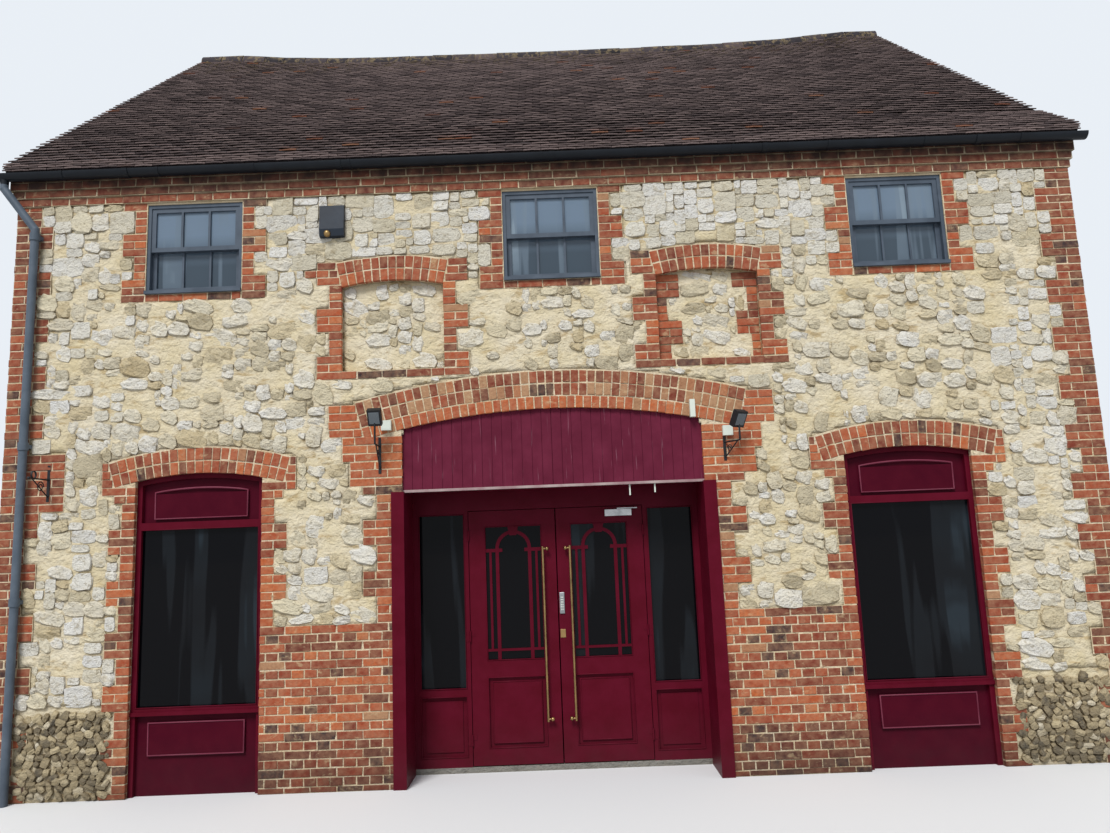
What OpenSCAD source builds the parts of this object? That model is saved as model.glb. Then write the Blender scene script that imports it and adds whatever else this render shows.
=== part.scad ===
/* [Building] */
// Length of the front over its corner bricks
body_w = 9970; // [9400:10:11000]
// Depth of the building from front face to back face
body_d = 8200; // [7000:10:9500]
// Thickness of the outer walls
wall_t = 500; // [420:10:600]
// Height of the walls up to the underside of the cornice
wall_h = 5370; // [5300:10:5600]
// How far the rubble face lies behind the face of the bricks
stone_set = 12; // [4:1:30]
// Thickness of the ground floor above the lowest ground
floor_h = 50; // [30:5:52]
// Top of the first floor boards
first_floor_top = 3500; // [3400:10:3700]
// Depth of the first floor joists and boards
first_floor_t = 200; // [120:10:240]

/* [Bricks] */
// Height of one brick course with its joint
course = 75; // [70:0.5:76]
// Depth of the brick dressings into the wall
brick_d = 105; // [90:1:115]
// Height of one ring of header bricks in an arch
ring = 119; // [110:1:124]
// Length of the short corner blocks
quoin_short = 235; // [200:5:260]
// Length of the long corner blocks
quoin_long = 350; // [300:5:400]
// Length of the brick patch at the left corner that carries the sign bracket
patch_w = 570; // [500:10:700]
// Projection of each oversailing course of the cornice
cornice_step = 18; // [8:1:20]
// Number of courses in the cornice
cornice_courses = 4; // [4:1:5]
// Height of the brick panels beside the entrance, in courses
panel_courses = 18; // [16:1:20]
// Height of the flint panels at the corners
flint_h = 780; // [600:10:900]
// Depth of the flint panels
flint_d = 60; // [40:5:100]

/* [Entrance] */
// Half the width of the opening in the masonry
door_half = 1365; // [1330:5:1420]
// Height of the masonry where the curve of its head begins
door_spring = 3110; // [3090:5:3120]
// Rise of the head between its two ends
door_rise = 145; // [120:5:160]
// Half the width of the door arch at its seats
door_seat = 1700; // [1600:10:1760]
// Number of brick rings in the door arch
door_rings = 3; // [2:1:3]
// Length of the short bricks beside the entrance
door_short = 230; // [200:5:250]
// Length of the long bricks beside the entrance
door_long = 355; // [300:5:400]
// Distance of the door screen behind the wall face
screen_set = 430; // [400:5:440]
// Thickness of the door screen posts and rails
screen_t = 70; // [60:5:90]
// Underside of the board that closes the recess above
soffit_h = 2540; // [2500:5:2560]
// Height of the beam over the recess
beam_h = 90; // [60:5:120]
// Projection of the pilasters in front of the wall
pilaster_out = 25; // [15:1:40]
// Width of each pilaster
pilaster_w = 115; // [90:5:140]
// Thickness of the boards that line the recess
lining_t = 20; // [15:1:24]
// Distance of the boarded head behind the wall face
board_set = 40; // [20:5:60]
// Thickness of the boarded head
board_t = 35; // [20:1:40]

/* [Door leaves] */
// Width of each door leaf
leaf_w = 815; // [780:1:830]
// Height of each door leaf
leaf_h = 2295; // [2250:5:2300]
// Thickness of each door leaf
leaf_t = 45; // [40:1:55]
// Gap round the leaves and half the gap between them
leaf_gap = 6; // [5:0.5:8]
// Gap between the leaf and the floor
leaf_under = 10; // [8:1:14]
// Distance of the hinge line in front of the leaf
hinge_out = 13; // [10:1:16]
// Radius of the hinge knuckles
knuckle_r = 8; // [6:0.5:9]
// Height of one hinge knuckle, of which each hinge has two
knuckle_h = 48; // [40:2:60]
// Gap between the two knuckles of a hinge
knuckle_gap = 0.3; // [0.2:0.1:0.5]
// Width of the stile at the meeting edge
meeting_stile = 135; // [120:5:150]
// Width of the stile at the hinge edge
hinge_stile = 152; // [120:1:170]
// Height of the top rail
top_rail = 150; // [120:5:170]
// Height of the bottom rail
bottom_rail = 150; // [120:5:180]
// Height of the lower panel
low_panel_h = 620; // [580:5:640]
// Height of the rail between the panel and the glass
lock_rail = 155; // [130:5:180]
// Radius of the arch in the glass to its outside
bar_arch_r = 168; // [150:2:180]
// Width of the thick bars in front of the glass
bar_w = 32; // [24:1:36]
// Width of the thin bars in front of the glass
thin_bar_w = 22; // [16:1:26]
// Thickness of the bars in front of the glass
bar_t = 16; // [12:1:18]
// Thickness of the door glass
glass_t = 6; // [4:1:8]
// Distance from the meeting edge to the handle rod
handle_x = 122; // [115:1:135]
// Radius of the handle rod
handle_r = 11; // [9:0.5:13]
// Length of the handle rod
handle_l = 1574; // [1500:10:1600]
// Height of the lower end of the handle rod
handle_foot = 432; // [400:5:480]
// Distance of the handle rod in front of the leaf
handle_out = 52; // [45:1:60]

/* [Shop windows] */
// Distance of each shop window from the middle of the front
shop_x = 3200; // [3180:5:3240]
// Half the width of a shop window
shop_half = 575; // [550:5:590]
// Height where the curve of the shop window head begins
shop_spring = 2725; // [2700:5:2760]
// Rise of the shop window head
shop_rise = 60; // [50:5:80]
// Half the width of the shop window arch at its seats
shop_seat = 765; // [700:5:780]
// Distance of the joinery behind the wall face
shop_set = 50; // [40:5:70]
// Thickness of the shop window joinery
shop_t = 70; // [60:5:80]
// Width of the shop window stiles
shop_stile = 45; // [40:1:60]
// Lower edge of the shop window glass
shop_glass_foot = 740; // [700:5:760]
// Upper edge of the shop window glass
shop_glass_top = 2285; // [2240:5:2300]
// Height of the rails over and under the glass
shop_rail = 65; // [50:5:75]
// Thickness of the boards above and below the glass
shop_board_t = 30; // [20:1:36]

/* [Upper windows] */
// Middle of the left upper window
left_sash_x = -3298; // [-3400:2:-3200]
// Middle of the middle upper window
middle_sash_x = 62; // [-80:2:80]
// Middle of the right upper window
right_sash_x = 3322; // [3200:2:3400]
// Width of an upper window
sash_w = 900; // [860:5:940]
// Height of an upper window
sash_h = 880; // [840:5:900]
// Masonry between the window head and the cornice
sash_drop = 20; // [10:5:30]
// Width of the window box frame
sash_box = 32; // [25:1:36]
// Width of the sash stiles and rails
sash_rail = 42; // [35:1:46]
// Width of the bars between the panes
sash_bar = 20; // [16:1:24]
// Thickness of one sash
sash_t = 40; // [36:1:44]
// Distance of the window frame behind the wall face
sash_set = 12; // [5:1:15]
// Projection of the window sill
sill_out = 30; // [20:1:40]
// Length of the short bricks beside small openings
jamb_short = 115; // [100:5:125]
// Length of the long bricks beside small openings
jamb_long = 228; // [200:2:250]

/* [Blind windows] */
// Middle of the left blind window
left_blind_x = -1435; // [-1480:5:-1400]
// Middle of the right blind window
right_blind_x = 1500; // [1460:5:1540]
// Width of the blind windows
blind_w = 955; // [920:5:980]
// Underside of the brick sill of the blind windows
blind_foot = 3590; // [3580:5:3620]
// Height from that underside to where the curve begins
blind_h = 885; // [860:5:900]
// Rise of the blind window heads
blind_rise = 52; // [40:2:75]
// Depth of the blind windows
blind_d = 68; // [40:2:90]

/* [Roof] */
// Height of the tiles at the eaves
eaves_h = 5725; // [5715:5:5735]
// Height where the two slopes meet
ridge_h = 9390; // [9100:10:9600]
// Reach of the tiles in front of the wall
eaves_out = 150; // [130:5:170]
// Reach of the tiles past the gables
verge_out = 65; // [40:5:100]
// Upright thickness of tiles, boards and rafters
roof_t = 130; // [110:2:134]
// Gap between the masonry and the underside of the roof
roof_gap = 0.3; // [0.2:0.1:0.6]
// Upright thickness of the tiles at the eaves
tile_t = 40; // [30:2:50]
// Sag of the ridge at its middle
ridge_sag = 125; // [0:5:200]
// How far the right end of each slope dips above its eaves
kick = 60; // [0:5:64]
// Length of the dip, measured level
kick_run = 545; // [400:5:700]
// Half the width of the ridge tiles
ridge_half = 110; // [90:5:130]
// Height of the ridge tiles over the slopes
ridge_rise = 150; // [140:5:180]
// Gap at the edges of the ridge tiles, where they are bedded on the slopes
ridge_bed = 1.3; // [1.2:0.1:1.6]

/* [Rainwater] */
// Radius of the gutter
gutter_r = 60; // [50:1:64]
// Thickness of the gutter
gutter_t = 4; // [3:0.5:6]
// Height of the top of the gutter
gutter_h = 5650; // [5640:2:5655]
// Reach of the gutter past the left corner
gutter_left = 165; // [120:5:200]
// Reach of the gutter past the right corner
gutter_right = 130; // [100:5:200]
// Spacing of the gutter brackets
bracket_pitch = 900; // [800:50:1200]
// Distance from the corner to the downpipe
pipe_in = 215; // [200:5:260]
// Radius of the downpipe
pipe_r = 36; // [30:1:40]
// Thickness of the downpipe
pipe_t = 4; // [3:0.5:6]
// Gap between the downpipe and the wall
pipe_gap = 30; // [20:2:40]
// Height of the lowest collar of the downpipe
low_collar = 1660; // [1500:10:1800]
// Height of the middle collar of the downpipe
high_collar = 3040; // [3020:10:3200]
// Length of a collar of the downpipe
collar_h = 70; // [50:5:90]

/* [Fittings] */
// Width of the alarm box
alarm_w = 230; // [200:5:280]
// Height of the alarm box
alarm_h = 310; // [260:5:340]
// Depth of the alarm box
alarm_d = 75; // [60:5:90]
// Middle of the alarm box
alarm_x = -1990; // [-2050:5:-1950]
// Height of the alarm box over the brick head of the left blind window
alarm_over = 180; // [100:5:200]
// Reach of the sign bracket
bracket_out = 290; // [240:5:340]
// Distance from the left corner to the sign bracket
bracket_in = 425; // [400:5:480]
// Lower end of the wall bar of the sign bracket
bracket_foot = 2570; // [2500:5:2600]
// Height of the wall bar of each bracket
plate_h = 330; // [300:5:360]
// Thickness of the wall bars of the brackets
plate_t = 8; // [6:1:12]
// Width of the wall bars of the brackets
plate_w = 26; // [20:1:40]
// Radius of the round rods of the brackets
rod_r = 7; // [6.5:0.5:8]
// Radius of the slanting stays of the brackets
stay_r = 5.5; // [4:0.5:6]
// Radius of the short post that carries each lamp
post_r = 9; // [8.5:0.5:12]
// Reach of the lamp brackets
lamp_out = 210; // [180:5:260]
// Distance of the lamp brackets from the edge of the doorway
lamp_in = 195; // [190:1:205]
// Height of the wall bar of the right lamp bracket
short_plate_h = 220; // [200:2:222]
// Height of the left flood lamp over its arm
left_lamp_up = 240; // [200:5:280]
// Height of the right flood lamp over its arm
right_lamp_up = 190; // [150:5:230]
// Turn of the right lamp towards the corner, in degrees
lamp_turn = 30; // [0:5:45]
// Lower end of the wall bars of the lamp brackets
lamp_foot = 2710; // [2650:5:2715]
// Width of a flood lamp
lamp_w = 120; // [90:5:160]
// Height of a flood lamp
lamp_h = 150; // [120:5:180]
// Depth of a flood lamp
lamp_d = 60; // [40:5:90]
// Side of the white box beside each lamp bracket
joint_box = 90; // [70:5:95]
// Distance of the left box from the left lamp bracket
box_gap = 6; // [2:1:12]
// Height of the left box over the lower end of the wall bars
left_box_up = 390; // [360:5:420]
// Height of the right box over the lower end of the wall bars
right_box_up = 226; // [224:1:250]
// Width of the sensor on the doorway arch
sensor_w = 46; // [40:2:60]
// Height of the sensor
sensor_h = 160; // [140:5:180]
// Depth of the sensor
sensor_d = 55; // [40:5:70]
// Distance of the sensor from the middle of the front
sensor_x = 1285; // [1250:5:1310]
// Height of the sensor over the start of the door arch
sensor_over = 5; // [0:5:20]
// Length of the door closer
closer_l = 250; // [220:5:280]
// Depth of the door closer
closer_d = 45; // [36:1:60]
// Height of the door closer
closer_h = 60; // [45:1:70]
// Length of the arm of the door closer
closer_arm = 190; // [150:5:230]

/* [Hidden] */
$fn = 96;
arc_steps = 720;
block_h = 3 * course;
half_w = body_w / 2;
half_d = body_d / 2;
half_in = half_w - wall_t;
sash_foot = wall_h - sash_drop - sash_h;
sash_sill_foot = sash_foot - course;
sash_x = [left_sash_x, middle_sash_x, right_sash_x];
blind_x = [left_blind_x, right_blind_x];
panel_top = floor_h + panel_courses * course;
door_crown = door_spring + door_rise;
door_r = arch_radius(door_half, door_rise);
door_mid = door_crown - door_r;
shop_r = arch_radius(shop_half, shop_rise);
shop_mid = shop_spring + shop_rise - shop_r;
blind_half = blind_w / 2;
blind_spring = blind_foot + blind_h;
blind_r = arch_radius(blind_half, blind_rise);
blind_mid = blind_spring + blind_rise - blind_r;
alarm_foot = blind_mid + blind_r + 2 * ring + alarm_over;
lamp_x = door_half + lamp_in;
cornice_out = min(3, cornice_courses) * cornice_step;
cornice_top = wall_h + cornice_courses * course;
roof_slope = (ridge_h - eaves_h) / (half_d + eaves_out);
gutter_y = -cornice_out - gutter_r;
leaf_foot = floor_h + leaf_under;
leaf_top = leaf_foot + leaf_h;
leaf_y = screen_set;
leaf_start = leaf_gap - 1;
leaf_end = leaf_start + leaf_w;
post_in = leaf_end + leaf_gap;
inner_half = door_half - lining_t;
hinge_plate = 40;
hinge_x = leaf_end + leaf_gap / 2;
cut = 1;

// Radius of a segmental arch from half its width and its rise
function arch_radius(half, rise) = (half * half + rise * rise) / (2 * rise);
// Sag of the roof at a place along the ridge, none over the gables
function sag(x) = abs(x) < half_in ? ridge_sag * (1 - pow(x / half_in, 4)) : 0;
// How far the sag shows at a distance behind the wall face
function sag_share(d) = max(0, (d - wall_t) / (half_d - wall_t));
// Height of the roof plane over a place
function roof_plane(x, d) = eaves_h + (d + eaves_out) * roof_slope - sag(x) * sag_share(d);
// Share of the dip at a distance behind the wall face
function kick_share(d) = d + eaves_out < kick_run ? (d + eaves_out) / kick_run
    : 1 - (d + eaves_out - kick_run) / (half_d + eaves_out - kick_run);
// Height of the tiles, which dip at the right end
function tile_top(x, d) = roof_plane(x, d)
    - kick * pow(max(0, x / half_w), 2) * max(0, kick_share(d));
// Underside of the roof over the walls
function roof_under(d) = eaves_h + (d + eaves_out) * roof_slope - roof_t - roof_gap;

module front() { translate([0, -half_d, 0]) children(); }
module back() { rotate([0, 0, 180]) front() children(); }
module front_and_back() { front() children(); back() children(); }
module gable(side) { translate([side * half_w, 0, 0]) rotate([0, 0, side * 90]) children(); }
module both_sides() { children(); mirror([1, 0, 0]) children(); }
// An outline seen from the front, made solid from near to near + thick
module upright(near, thick) {
    translate([0, near + thick, 0]) rotate([90, 0, 0]) linear_extrude(thick) children();
}
// A section seen from the right end, made solid along the front
module along(start, length) {
    translate([start, 0, 0]) rotate([90, 0, 90]) linear_extrude(length) children();
}
// A round bar between two points
module bar(p, q, r) {
    v = q - p;
    translate(p) rotate([0, acos(v[2] / norm(v)), atan2(v[1], v[0])]) cylinder(h = norm(v), r = r);
}
// A round bar through a list of points
module bent_bar(points, r) {
    for (i = [0 : len(points) - 2]) bar(points[i], points[i + 1], r);
    for (i = [1 : len(points) - 2]) translate(points[i]) sphere(r = r + 1);
}

// Outline of an opening with a segmental head
module arched_opening(half, foot, spring, r, mid) {
    translate([-half, foot]) square([2 * half, spring - foot]);
    intersection() {
        translate([0, mid]) circle(r, $fn = arc_steps);
        translate([-half, spring]) square([2 * half, mid + r - spring]);
    }
}
// Outline of the wedge between the two sloping seats of an arch
module seat_wedge(r, mid, seat, rings) {
    lean = asin(seat / r);
    far = 1.2 * (r + rings * ring);
    polygon([
        [0, mid], [far * sin(lean), mid + far * cos(lean)], [-far * sin(lean), mid + far * cos(lean)]
    ]);
}
// Outline of an arch of brick rings between its two sloping seats
module arch_band(r, mid, seat, rings) {
    intersection() {
        difference() {
            translate([0, mid]) circle(r + rings * ring, $fn = arc_steps);
            translate([0, mid]) circle(r, $fn = arc_steps);
        }
        seat_wedge(r, mid, seat, rings);
    }
}
// Outline of the pocket for such an arch, open below to a given height
module arch_pocket(r, mid, seat, rings, low) {
    intersection() {
        translate([0, mid]) circle(r + rings * ring, $fn = arc_steps);
        seat_wedge(r, mid, seat, rings);
        translate([-2 * seat, low]) square([4 * seat, mid + r]);
    }
}
// Outline of toothed brickwork on the right of an edge, in blocks of three courses
module toothed(foot, top, short, long, long_first) {
    blocks = ceil((top - foot) / block_h);
    for (i = [0 : blocks - 1])
        translate([0, foot + i * block_h])
            square([(i % 2 == 0) == long_first ? long : short,
                min(block_h, top - foot - i * block_h)]);
}

// Outline of the bricks beside the entrance, before its arch is taken away
module doorway_jambs() {
    steps = [
        [15, 16, door_long], [16, 19, door_long + jamb_short], [19, 22, door_long + 1.6 * jamb_short],
        [22, 26, door_long + 2.7 * jamb_short]
    ];
    both_sides() translate([door_half, 0]) {
        toothed(panel_top, panel_top + 15 * course, door_short, door_long, false);
        for (s = steps) translate([0, panel_top + s[0] * course]) square([s[2], (s[1] - s[0]) * course]);
    }
}
module doorway_outline() {
    difference() {
        doorway_jambs();
        door_arch_outline();
    }
}
module door_arch_outline() { arch_band(door_r, door_mid, door_seat, door_rings); }
module brick_panel_outline() {
    both_sides() translate([door_half, 0]) square([shop_x - shop_half - door_half, panel_top]);
}
// Outline of the bricks beside one shop window, before its arch is taken away
module shop_jambs(side) {
    both_sides() translate([shop_half, 0]) {
        toothed(panel_top, panel_top + 15 * course, jamb_short, jamb_long, false);
        translate([0, panel_top + 15 * course]) square([shop_seat - shop_half, 5 * course]);
        translate([shop_seat - shop_half, panel_top + 16 * course]) square([jamb_short, 4 * course]);
    }
    mirror([side < 0 ? 1 : 0, 0]) translate([shop_half, 0]) {
        toothed(panel_top - 6 * block_h, panel_top, jamb_short, jamb_long, false);
        square([jamb_short, panel_top - 6 * block_h]);
    }
}
module shop_arch_outline() { arch_band(shop_r, shop_mid, shop_seat, 2); }
module shop_arch_pocket() { arch_pocket(shop_r, shop_mid, shop_seat, 2, shop_spring - shop_rise); }
// Outline of the bricks round one shop window
module shop_brick_outline(side) {
    translate([side * shop_x, 0]) {
        shop_arch_outline();
        difference() {
            shop_jambs(side);
            shop_arch_outline();
        }
    }
}
// Outline of the bricks round one upper window
module sash_brick_outline() {
    both_sides() translate([sash_w / 2, 0]) toothed(sash_sill_foot, wall_h, jamb_short, jamb_long, true);
    translate([-sash_w / 2, sash_sill_foot]) square([sash_w, course]);
    translate([-sash_w / 2, sash_foot + sash_h]) square([sash_w, sash_drop]);
}
// Outline of the bricks beside and under the blind window at x, before its arch is taken away
module blind_jambs(x) {
    both_sides() translate([blind_half, 0]) {
        toothed(blind_foot, blind_foot + 12 * course, jamb_short, jamb_long, true);
        translate([0, blind_foot + 12 * course]) square([jamb_long, 3 * course]);
    }
    if (x < 0)
        translate([-blind_half - jamb_long - jamb_short, blind_foot + 13 * course])
            square([jamb_long + jamb_short, course]);
    translate([-blind_half, blind_foot]) square([blind_w, course]);
}
module blind_arch_outline() { arch_band(blind_r, blind_mid, blind_half, 2); }
module blind_brick_outline(x) {
    blind_arch_outline();
    difference() {
        blind_jambs(x);
        blind_arch_outline();
    }
}
module blind_infill_outline() {
    arched_opening(blind_half, blind_foot + course, blind_spring, blind_r, blind_mid);
}
module shop_opening_outline() { arched_opening(shop_half, -cut, shop_spring, shop_r, shop_mid); }
// Outline of the flint panel on one side, between the bricks of the shop window and the corner
module flint_outline(side) {
    difference() {
        mirror([side < 0 ? 1 : 0, 0]) translate([shop_x + shop_half, 0])
            square([half_w - shop_x - shop_half, flint_h]);
        translate([side * shop_x, 0]) shop_jambs(side);
        mirror([side < 0 ? 1 : 0, 0]) translate([half_w, 0]) mirror([1, 0])
            toothed(0, flint_h + block_h, quoin_short, quoin_long, true);
    }
}
// Brickwork beside the left corner that carries the sign bracket
module corner_patch() {
    translate([-half_w, 0, 11 * block_h]) cube([patch_w, brick_d, 2 * block_h + course]);
}
// Toothed corner block work that shows on two faces of a wall
module quoin(height) {
    for (i = [0 : ceil(height / block_h) - 1]) {
        run = i % 2 == 0 ? quoin_long : quoin_short;
        turn = i % 2 == 0 ? quoin_short : quoin_long;
        h = min(block_h, height - i * block_h);
        translate([-half_w, 0, i * block_h]) {
            cube([run, brick_d, h]);
            cube([brick_d, turn, h]);
        }
    }
}
// Cutters for the pockets that hold the bricks of a wall, and for its openings
module pocket() { upright(-cut, brick_d + cut) children(); }
module hole() { upright(-cut, wall_t + 2 * cut) children(); }
module shop_cuts(side) {
    translate([side * shop_x, 0, 0]) {
        pocket() shop_jambs(side);
        pocket() shop_arch_pocket();
        hole() shop_opening_outline();
    }
}
module sash_cuts() {
    pocket() sash_brick_outline();
    hole() translate([-sash_w / 2, sash_foot]) square([sash_w, sash_h]);
}
// The rubble body of a front or back wall, from a height up to the roof
module wall_body(low) {
    along(-half_w + stone_set, body_w - 2 * stone_set) polygon([
        [stone_set, low], [wall_t, low], [wall_t, roof_under(wall_t)], [brick_d, roof_under(brick_d)],
        [brick_d, wall_h], [stone_set, wall_h]
    ]);
}
module front_wall_side() {
    front() difference() {
        translate([door_half, stone_set, 0])
            cube([half_w - stone_set - door_half, wall_t - stone_set, door_spring]);
        pocket() brick_panel_outline();
        pocket() doorway_jambs();
        shop_cuts(1);
        upright(-cut, flint_d + cut) flint_outline(1);
        mirror([1, 0, 0]) quoin(wall_h);
        hole() translate([0, -cut]) square([door_half, door_spring + 2 * cut]);
    }
}
module front_wall_left() {
    color("wheat") difference() {
        mirror([1, 0, 0]) front_wall_side();
        front() corner_patch();
    }
}
module front_wall_right() { color("wheat") front_wall_side(); }
module front_wall_upper() {
    color("wheat") front() difference() {
        wall_body(door_spring);
        both_sides() quoin(wall_h);
        pocket() doorway_jambs();
        pocket() arch_pocket(door_r, door_mid, door_seat, door_rings, door_spring - door_rise);
        hole() arched_opening(door_half, door_spring - door_rise, door_spring, door_r, door_mid);
        for (x = sash_x) translate([x, 0, 0]) sash_cuts();
        for (x = blind_x) translate([x, 0, 0]) {
            pocket() blind_jambs(x);
            pocket() translate([-blind_half, blind_foot]) square([blind_w, blind_h + blind_rise]);
            pocket() arch_pocket(blind_r, blind_mid, blind_half, 2, blind_spring);
        }
    }
}
module back_wall() {
    color("wheat") back() difference() {
        wall_body(0);
        both_sides() quoin(wall_h);
        pocket() brick_panel_outline();
        for (x = sash_x) translate([x, 0, 0]) sash_cuts();
        for (side = [-1, 1]) shop_cuts(side);
    }
}
module gable_wall(side) {
    color("wheat") difference() {
        along(side > 0 ? half_w - wall_t : stone_set - half_w, wall_t - stone_set) polygon([
            [wall_t - half_d, 0], [half_d - wall_t, 0], [half_d - wall_t, roof_under(wall_t)],
            [0, roof_under(half_d)], [wall_t - half_d, roof_under(wall_t)]
        ]);
        gable(side) sash_cuts();
    }
}
module left_gable_wall() { gable_wall(-1); }
module right_gable_wall() { gable_wall(1); }
module floor_slab() {
    color("gray") {
        translate([-half_in, wall_t - half_d, 0]) cube([2 * half_in, body_d - 2 * wall_t, floor_h]);
        front() translate([-door_half, screen_set, 0]) cube([2 * door_half, wall_t - screen_set, floor_h]);
    }
}
module first_floor() {
    color("tan") translate([-half_in, wall_t - half_d, first_floor_top - first_floor_t])
        cube([2 * half_in, body_d - 2 * wall_t, first_floor_t]);
}

module corner_quoins() {
    color("firebrick") {
        front_and_back() both_sides() quoin(wall_h);
        front() corner_patch();
    }
}
module doorway_brickwork() { color("firebrick") front() upright(0, brick_d) doorway_outline(); }
module door_arch() { color("firebrick") front() upright(0, brick_d) door_arch_outline(); }
module brick_panels() { color("firebrick") front_and_back() upright(0, brick_d) brick_panel_outline(); }
module flint_panels() {
    color("darkkhaki") front() for (side = [-1, 1])
        upright(stone_set, flint_d - stone_set) flint_outline(side);
}
module shop_window_brickwork() {
    color("firebrick") front_and_back() for (side = [-1, 1])
        upright(0, brick_d) shop_brick_outline(side);
}
module upper_window_brickwork() {
    color("firebrick") {
        front_and_back() for (x = sash_x) translate([x, 0, 0]) upright(0, brick_d) sash_brick_outline();
        for (side = [-1, 1]) gable(side) upright(0, brick_d) sash_brick_outline();
    }
}
module blind_window_brickwork() {
    color("firebrick") front() for (x = blind_x) translate([x, 0, 0])
        upright(0, brick_d) blind_brick_outline(x);
}
module blind_window_infill() {
    color("wheat") front() for (x = blind_x) translate([x, 0, 0])
        upright(blind_d, brick_d - blind_d) blind_infill_outline();
}
module cornice() {
    color("firebrick") front_and_back() for (i = [0 : cornice_courses - 1]) {
        out = min(i + 1, 3) * cornice_step;
        translate([-half_w - out, -out, wall_h + i * course])
            cube([body_w + 2 * out, brick_d + out, course]);
    }
}

// A solid through a row of sections, each a list of points
module loft(sections) {
    n = len(sections[0]);
    m = len(sections);
    polyhedron(
        points = [for (s = sections) for (p = s) p],
        faces = concat(
            [for (j = [0 : m - 2]) for (i = [0 : n - 1])
                [j * n + i, j * n + (i + 1) % n, (j + 1) * n + (i + 1) % n]],
            [for (j = [0 : m - 2]) for (i = [0 : n - 1])
                [j * n + i, (j + 1) * n + (i + 1) % n, (j + 1) * n + i]],
            [[for (i = [n - 1 : -1 : 0]) i]],
            [[for (i = [0 : n - 1]) (m - 1) * n + i]]
        )
    );
}
roof_bays = 12;
roof_x = concat(
    [-half_w - verge_out], [for (i = [0 : roof_bays]) half_in * (2 * i / roof_bays - 1)],
    [half_w + verge_out]
);
past_ridge = half_d + ridge_half / 5;
slope_d = [
    -eaves_out, -cornice_out, kick_run - eaves_out, wall_t, half_d / 2, half_d - ridge_half, past_ridge
];
// The front slope, cut upright where it meets the back slope
module slope() {
    under = [past_ridge, half_d - ridge_half, half_d / 2, wall_t, -cornice_out];
    difference() {
        loft([for (x = roof_x) concat(
            [for (d = slope_d) [x, d - half_d, tile_top(x, d)]],
            [for (d = under) [x, d - half_d, roof_plane(x, d) - roof_t]],
            [for (d = [-cornice_out, -eaves_out]) [x, d - half_d, tile_top(x, d) - tile_t]]
        )]);
        translate([-body_w, 0, eaves_h]) cube([2 * body_w, body_d, ridge_h]);
    }
}
module roof_front_slope() { color("saddlebrown") slope(); }
module roof_back_slope() { color("saddlebrown") mirror([0, 1, 0]) slope(); }
ridge_steps = 8;
module ridge_tiles() {
    seat = half_d - ridge_half;
    color("brown") loft([for (x = roof_x) concat(
        [for (i = [0 : ridge_steps]) [
            x, -ridge_half * cos(180 * i / ridge_steps),
            tile_top(x, seat) + ridge_bed + ridge_rise * sin(180 * i / ridge_steps)
        ]],
        [[x, 0, roof_plane(x, half_d) + ridge_bed]]
    )]);
}

// Half round gutter with stopped ends, its outlet at the left end
module gutter() {
    start = -half_w - gutter_left;
    length = body_w + gutter_left + gutter_right;
    outlet_x = start + gutter_r + pipe_r;
    translate([0, gutter_y, gutter_h]) difference() {
        union() {
            along(start, length) difference() {
                circle(gutter_r);
                translate([-gutter_r, 0]) square([2 * gutter_r, gutter_r]);
            }
            translate([outlet_x, 0, -gutter_r - pipe_r]) cylinder(h = gutter_r, r = pipe_r);
        }
        along(start + gutter_t, length - 2 * gutter_t) circle(gutter_r - gutter_t);
        translate([outlet_x, 0, -gutter_r - pipe_r - cut])
            cylinder(h = gutter_r + pipe_r, r = pipe_r - pipe_t);
    }
}
module gutters() { color("darkslategray") front_and_back() gutter(); }
// Straps that hold the gutter to the cornice
module gutter_straps() {
    strap_t = 5;
    strap_w = 25;
    count = floor((body_w - quoin_long) / bracket_pitch);
    for (i = [0 : count]) translate([(i - count / 2) * bracket_pitch - strap_w / 2, 0, 0]) {
        translate([0, gutter_y, gutter_h]) along(0, strap_w) difference() {
            intersection() {
                circle(gutter_r + strap_t);
                translate([-2 * gutter_r, -2 * gutter_r]) square([3 * gutter_r, 2 * gutter_r]);
            }
            circle(gutter_r);
        }
    }
}
module gutter_brackets() {
    color("darkslategray") front_and_back() difference() {
        gutter_straps();
        front_zone_cut();
    }
}
// The space that the cornice fills, cut from what is fixed to it
module front_zone_cut() {
    translate([-half_w, -cornice_out, wall_h]) cube([body_w, wall_t, cornice_top - wall_h]);
}
module downpipe() {
    outlet_x = -half_w - gutter_left + gutter_r + pipe_r;
    pipe_x = -half_w + pipe_in;
    pipe_y = -pipe_r - pipe_gap;
    outlet_z = gutter_h - gutter_r - pipe_r;
    run = [
        [outlet_x, gutter_y, outlet_z], [outlet_x, gutter_y, outlet_z - pipe_r],
        [pipe_x, pipe_y, outlet_z - 12 * pipe_r], [pipe_x, pipe_y, 0]
    ];
    bore = [run[0] + [0, 0, cut], run[1], run[2], run[3] - [0, 0, cut]];
    collar_r = pipe_r + 2 * pipe_t;
    difference() {
        union() {
            bent_bar(run, pipe_r);
            for (z = [low_collar, high_collar, outlet_z - 15 * pipe_r])
                translate([pipe_x, pipe_y, z]) {
                    cylinder(h = collar_h, r = collar_r);
                    translate([-collar_r, 0, collar_h / 4]) cube([2 * collar_r, -pipe_y, collar_h / 2]);
                }
        }
        bent_bar(bore, pipe_r - pipe_t);
    }
}
module downpipes() { color("slategray") front_and_back() downpipe(); }

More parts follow.
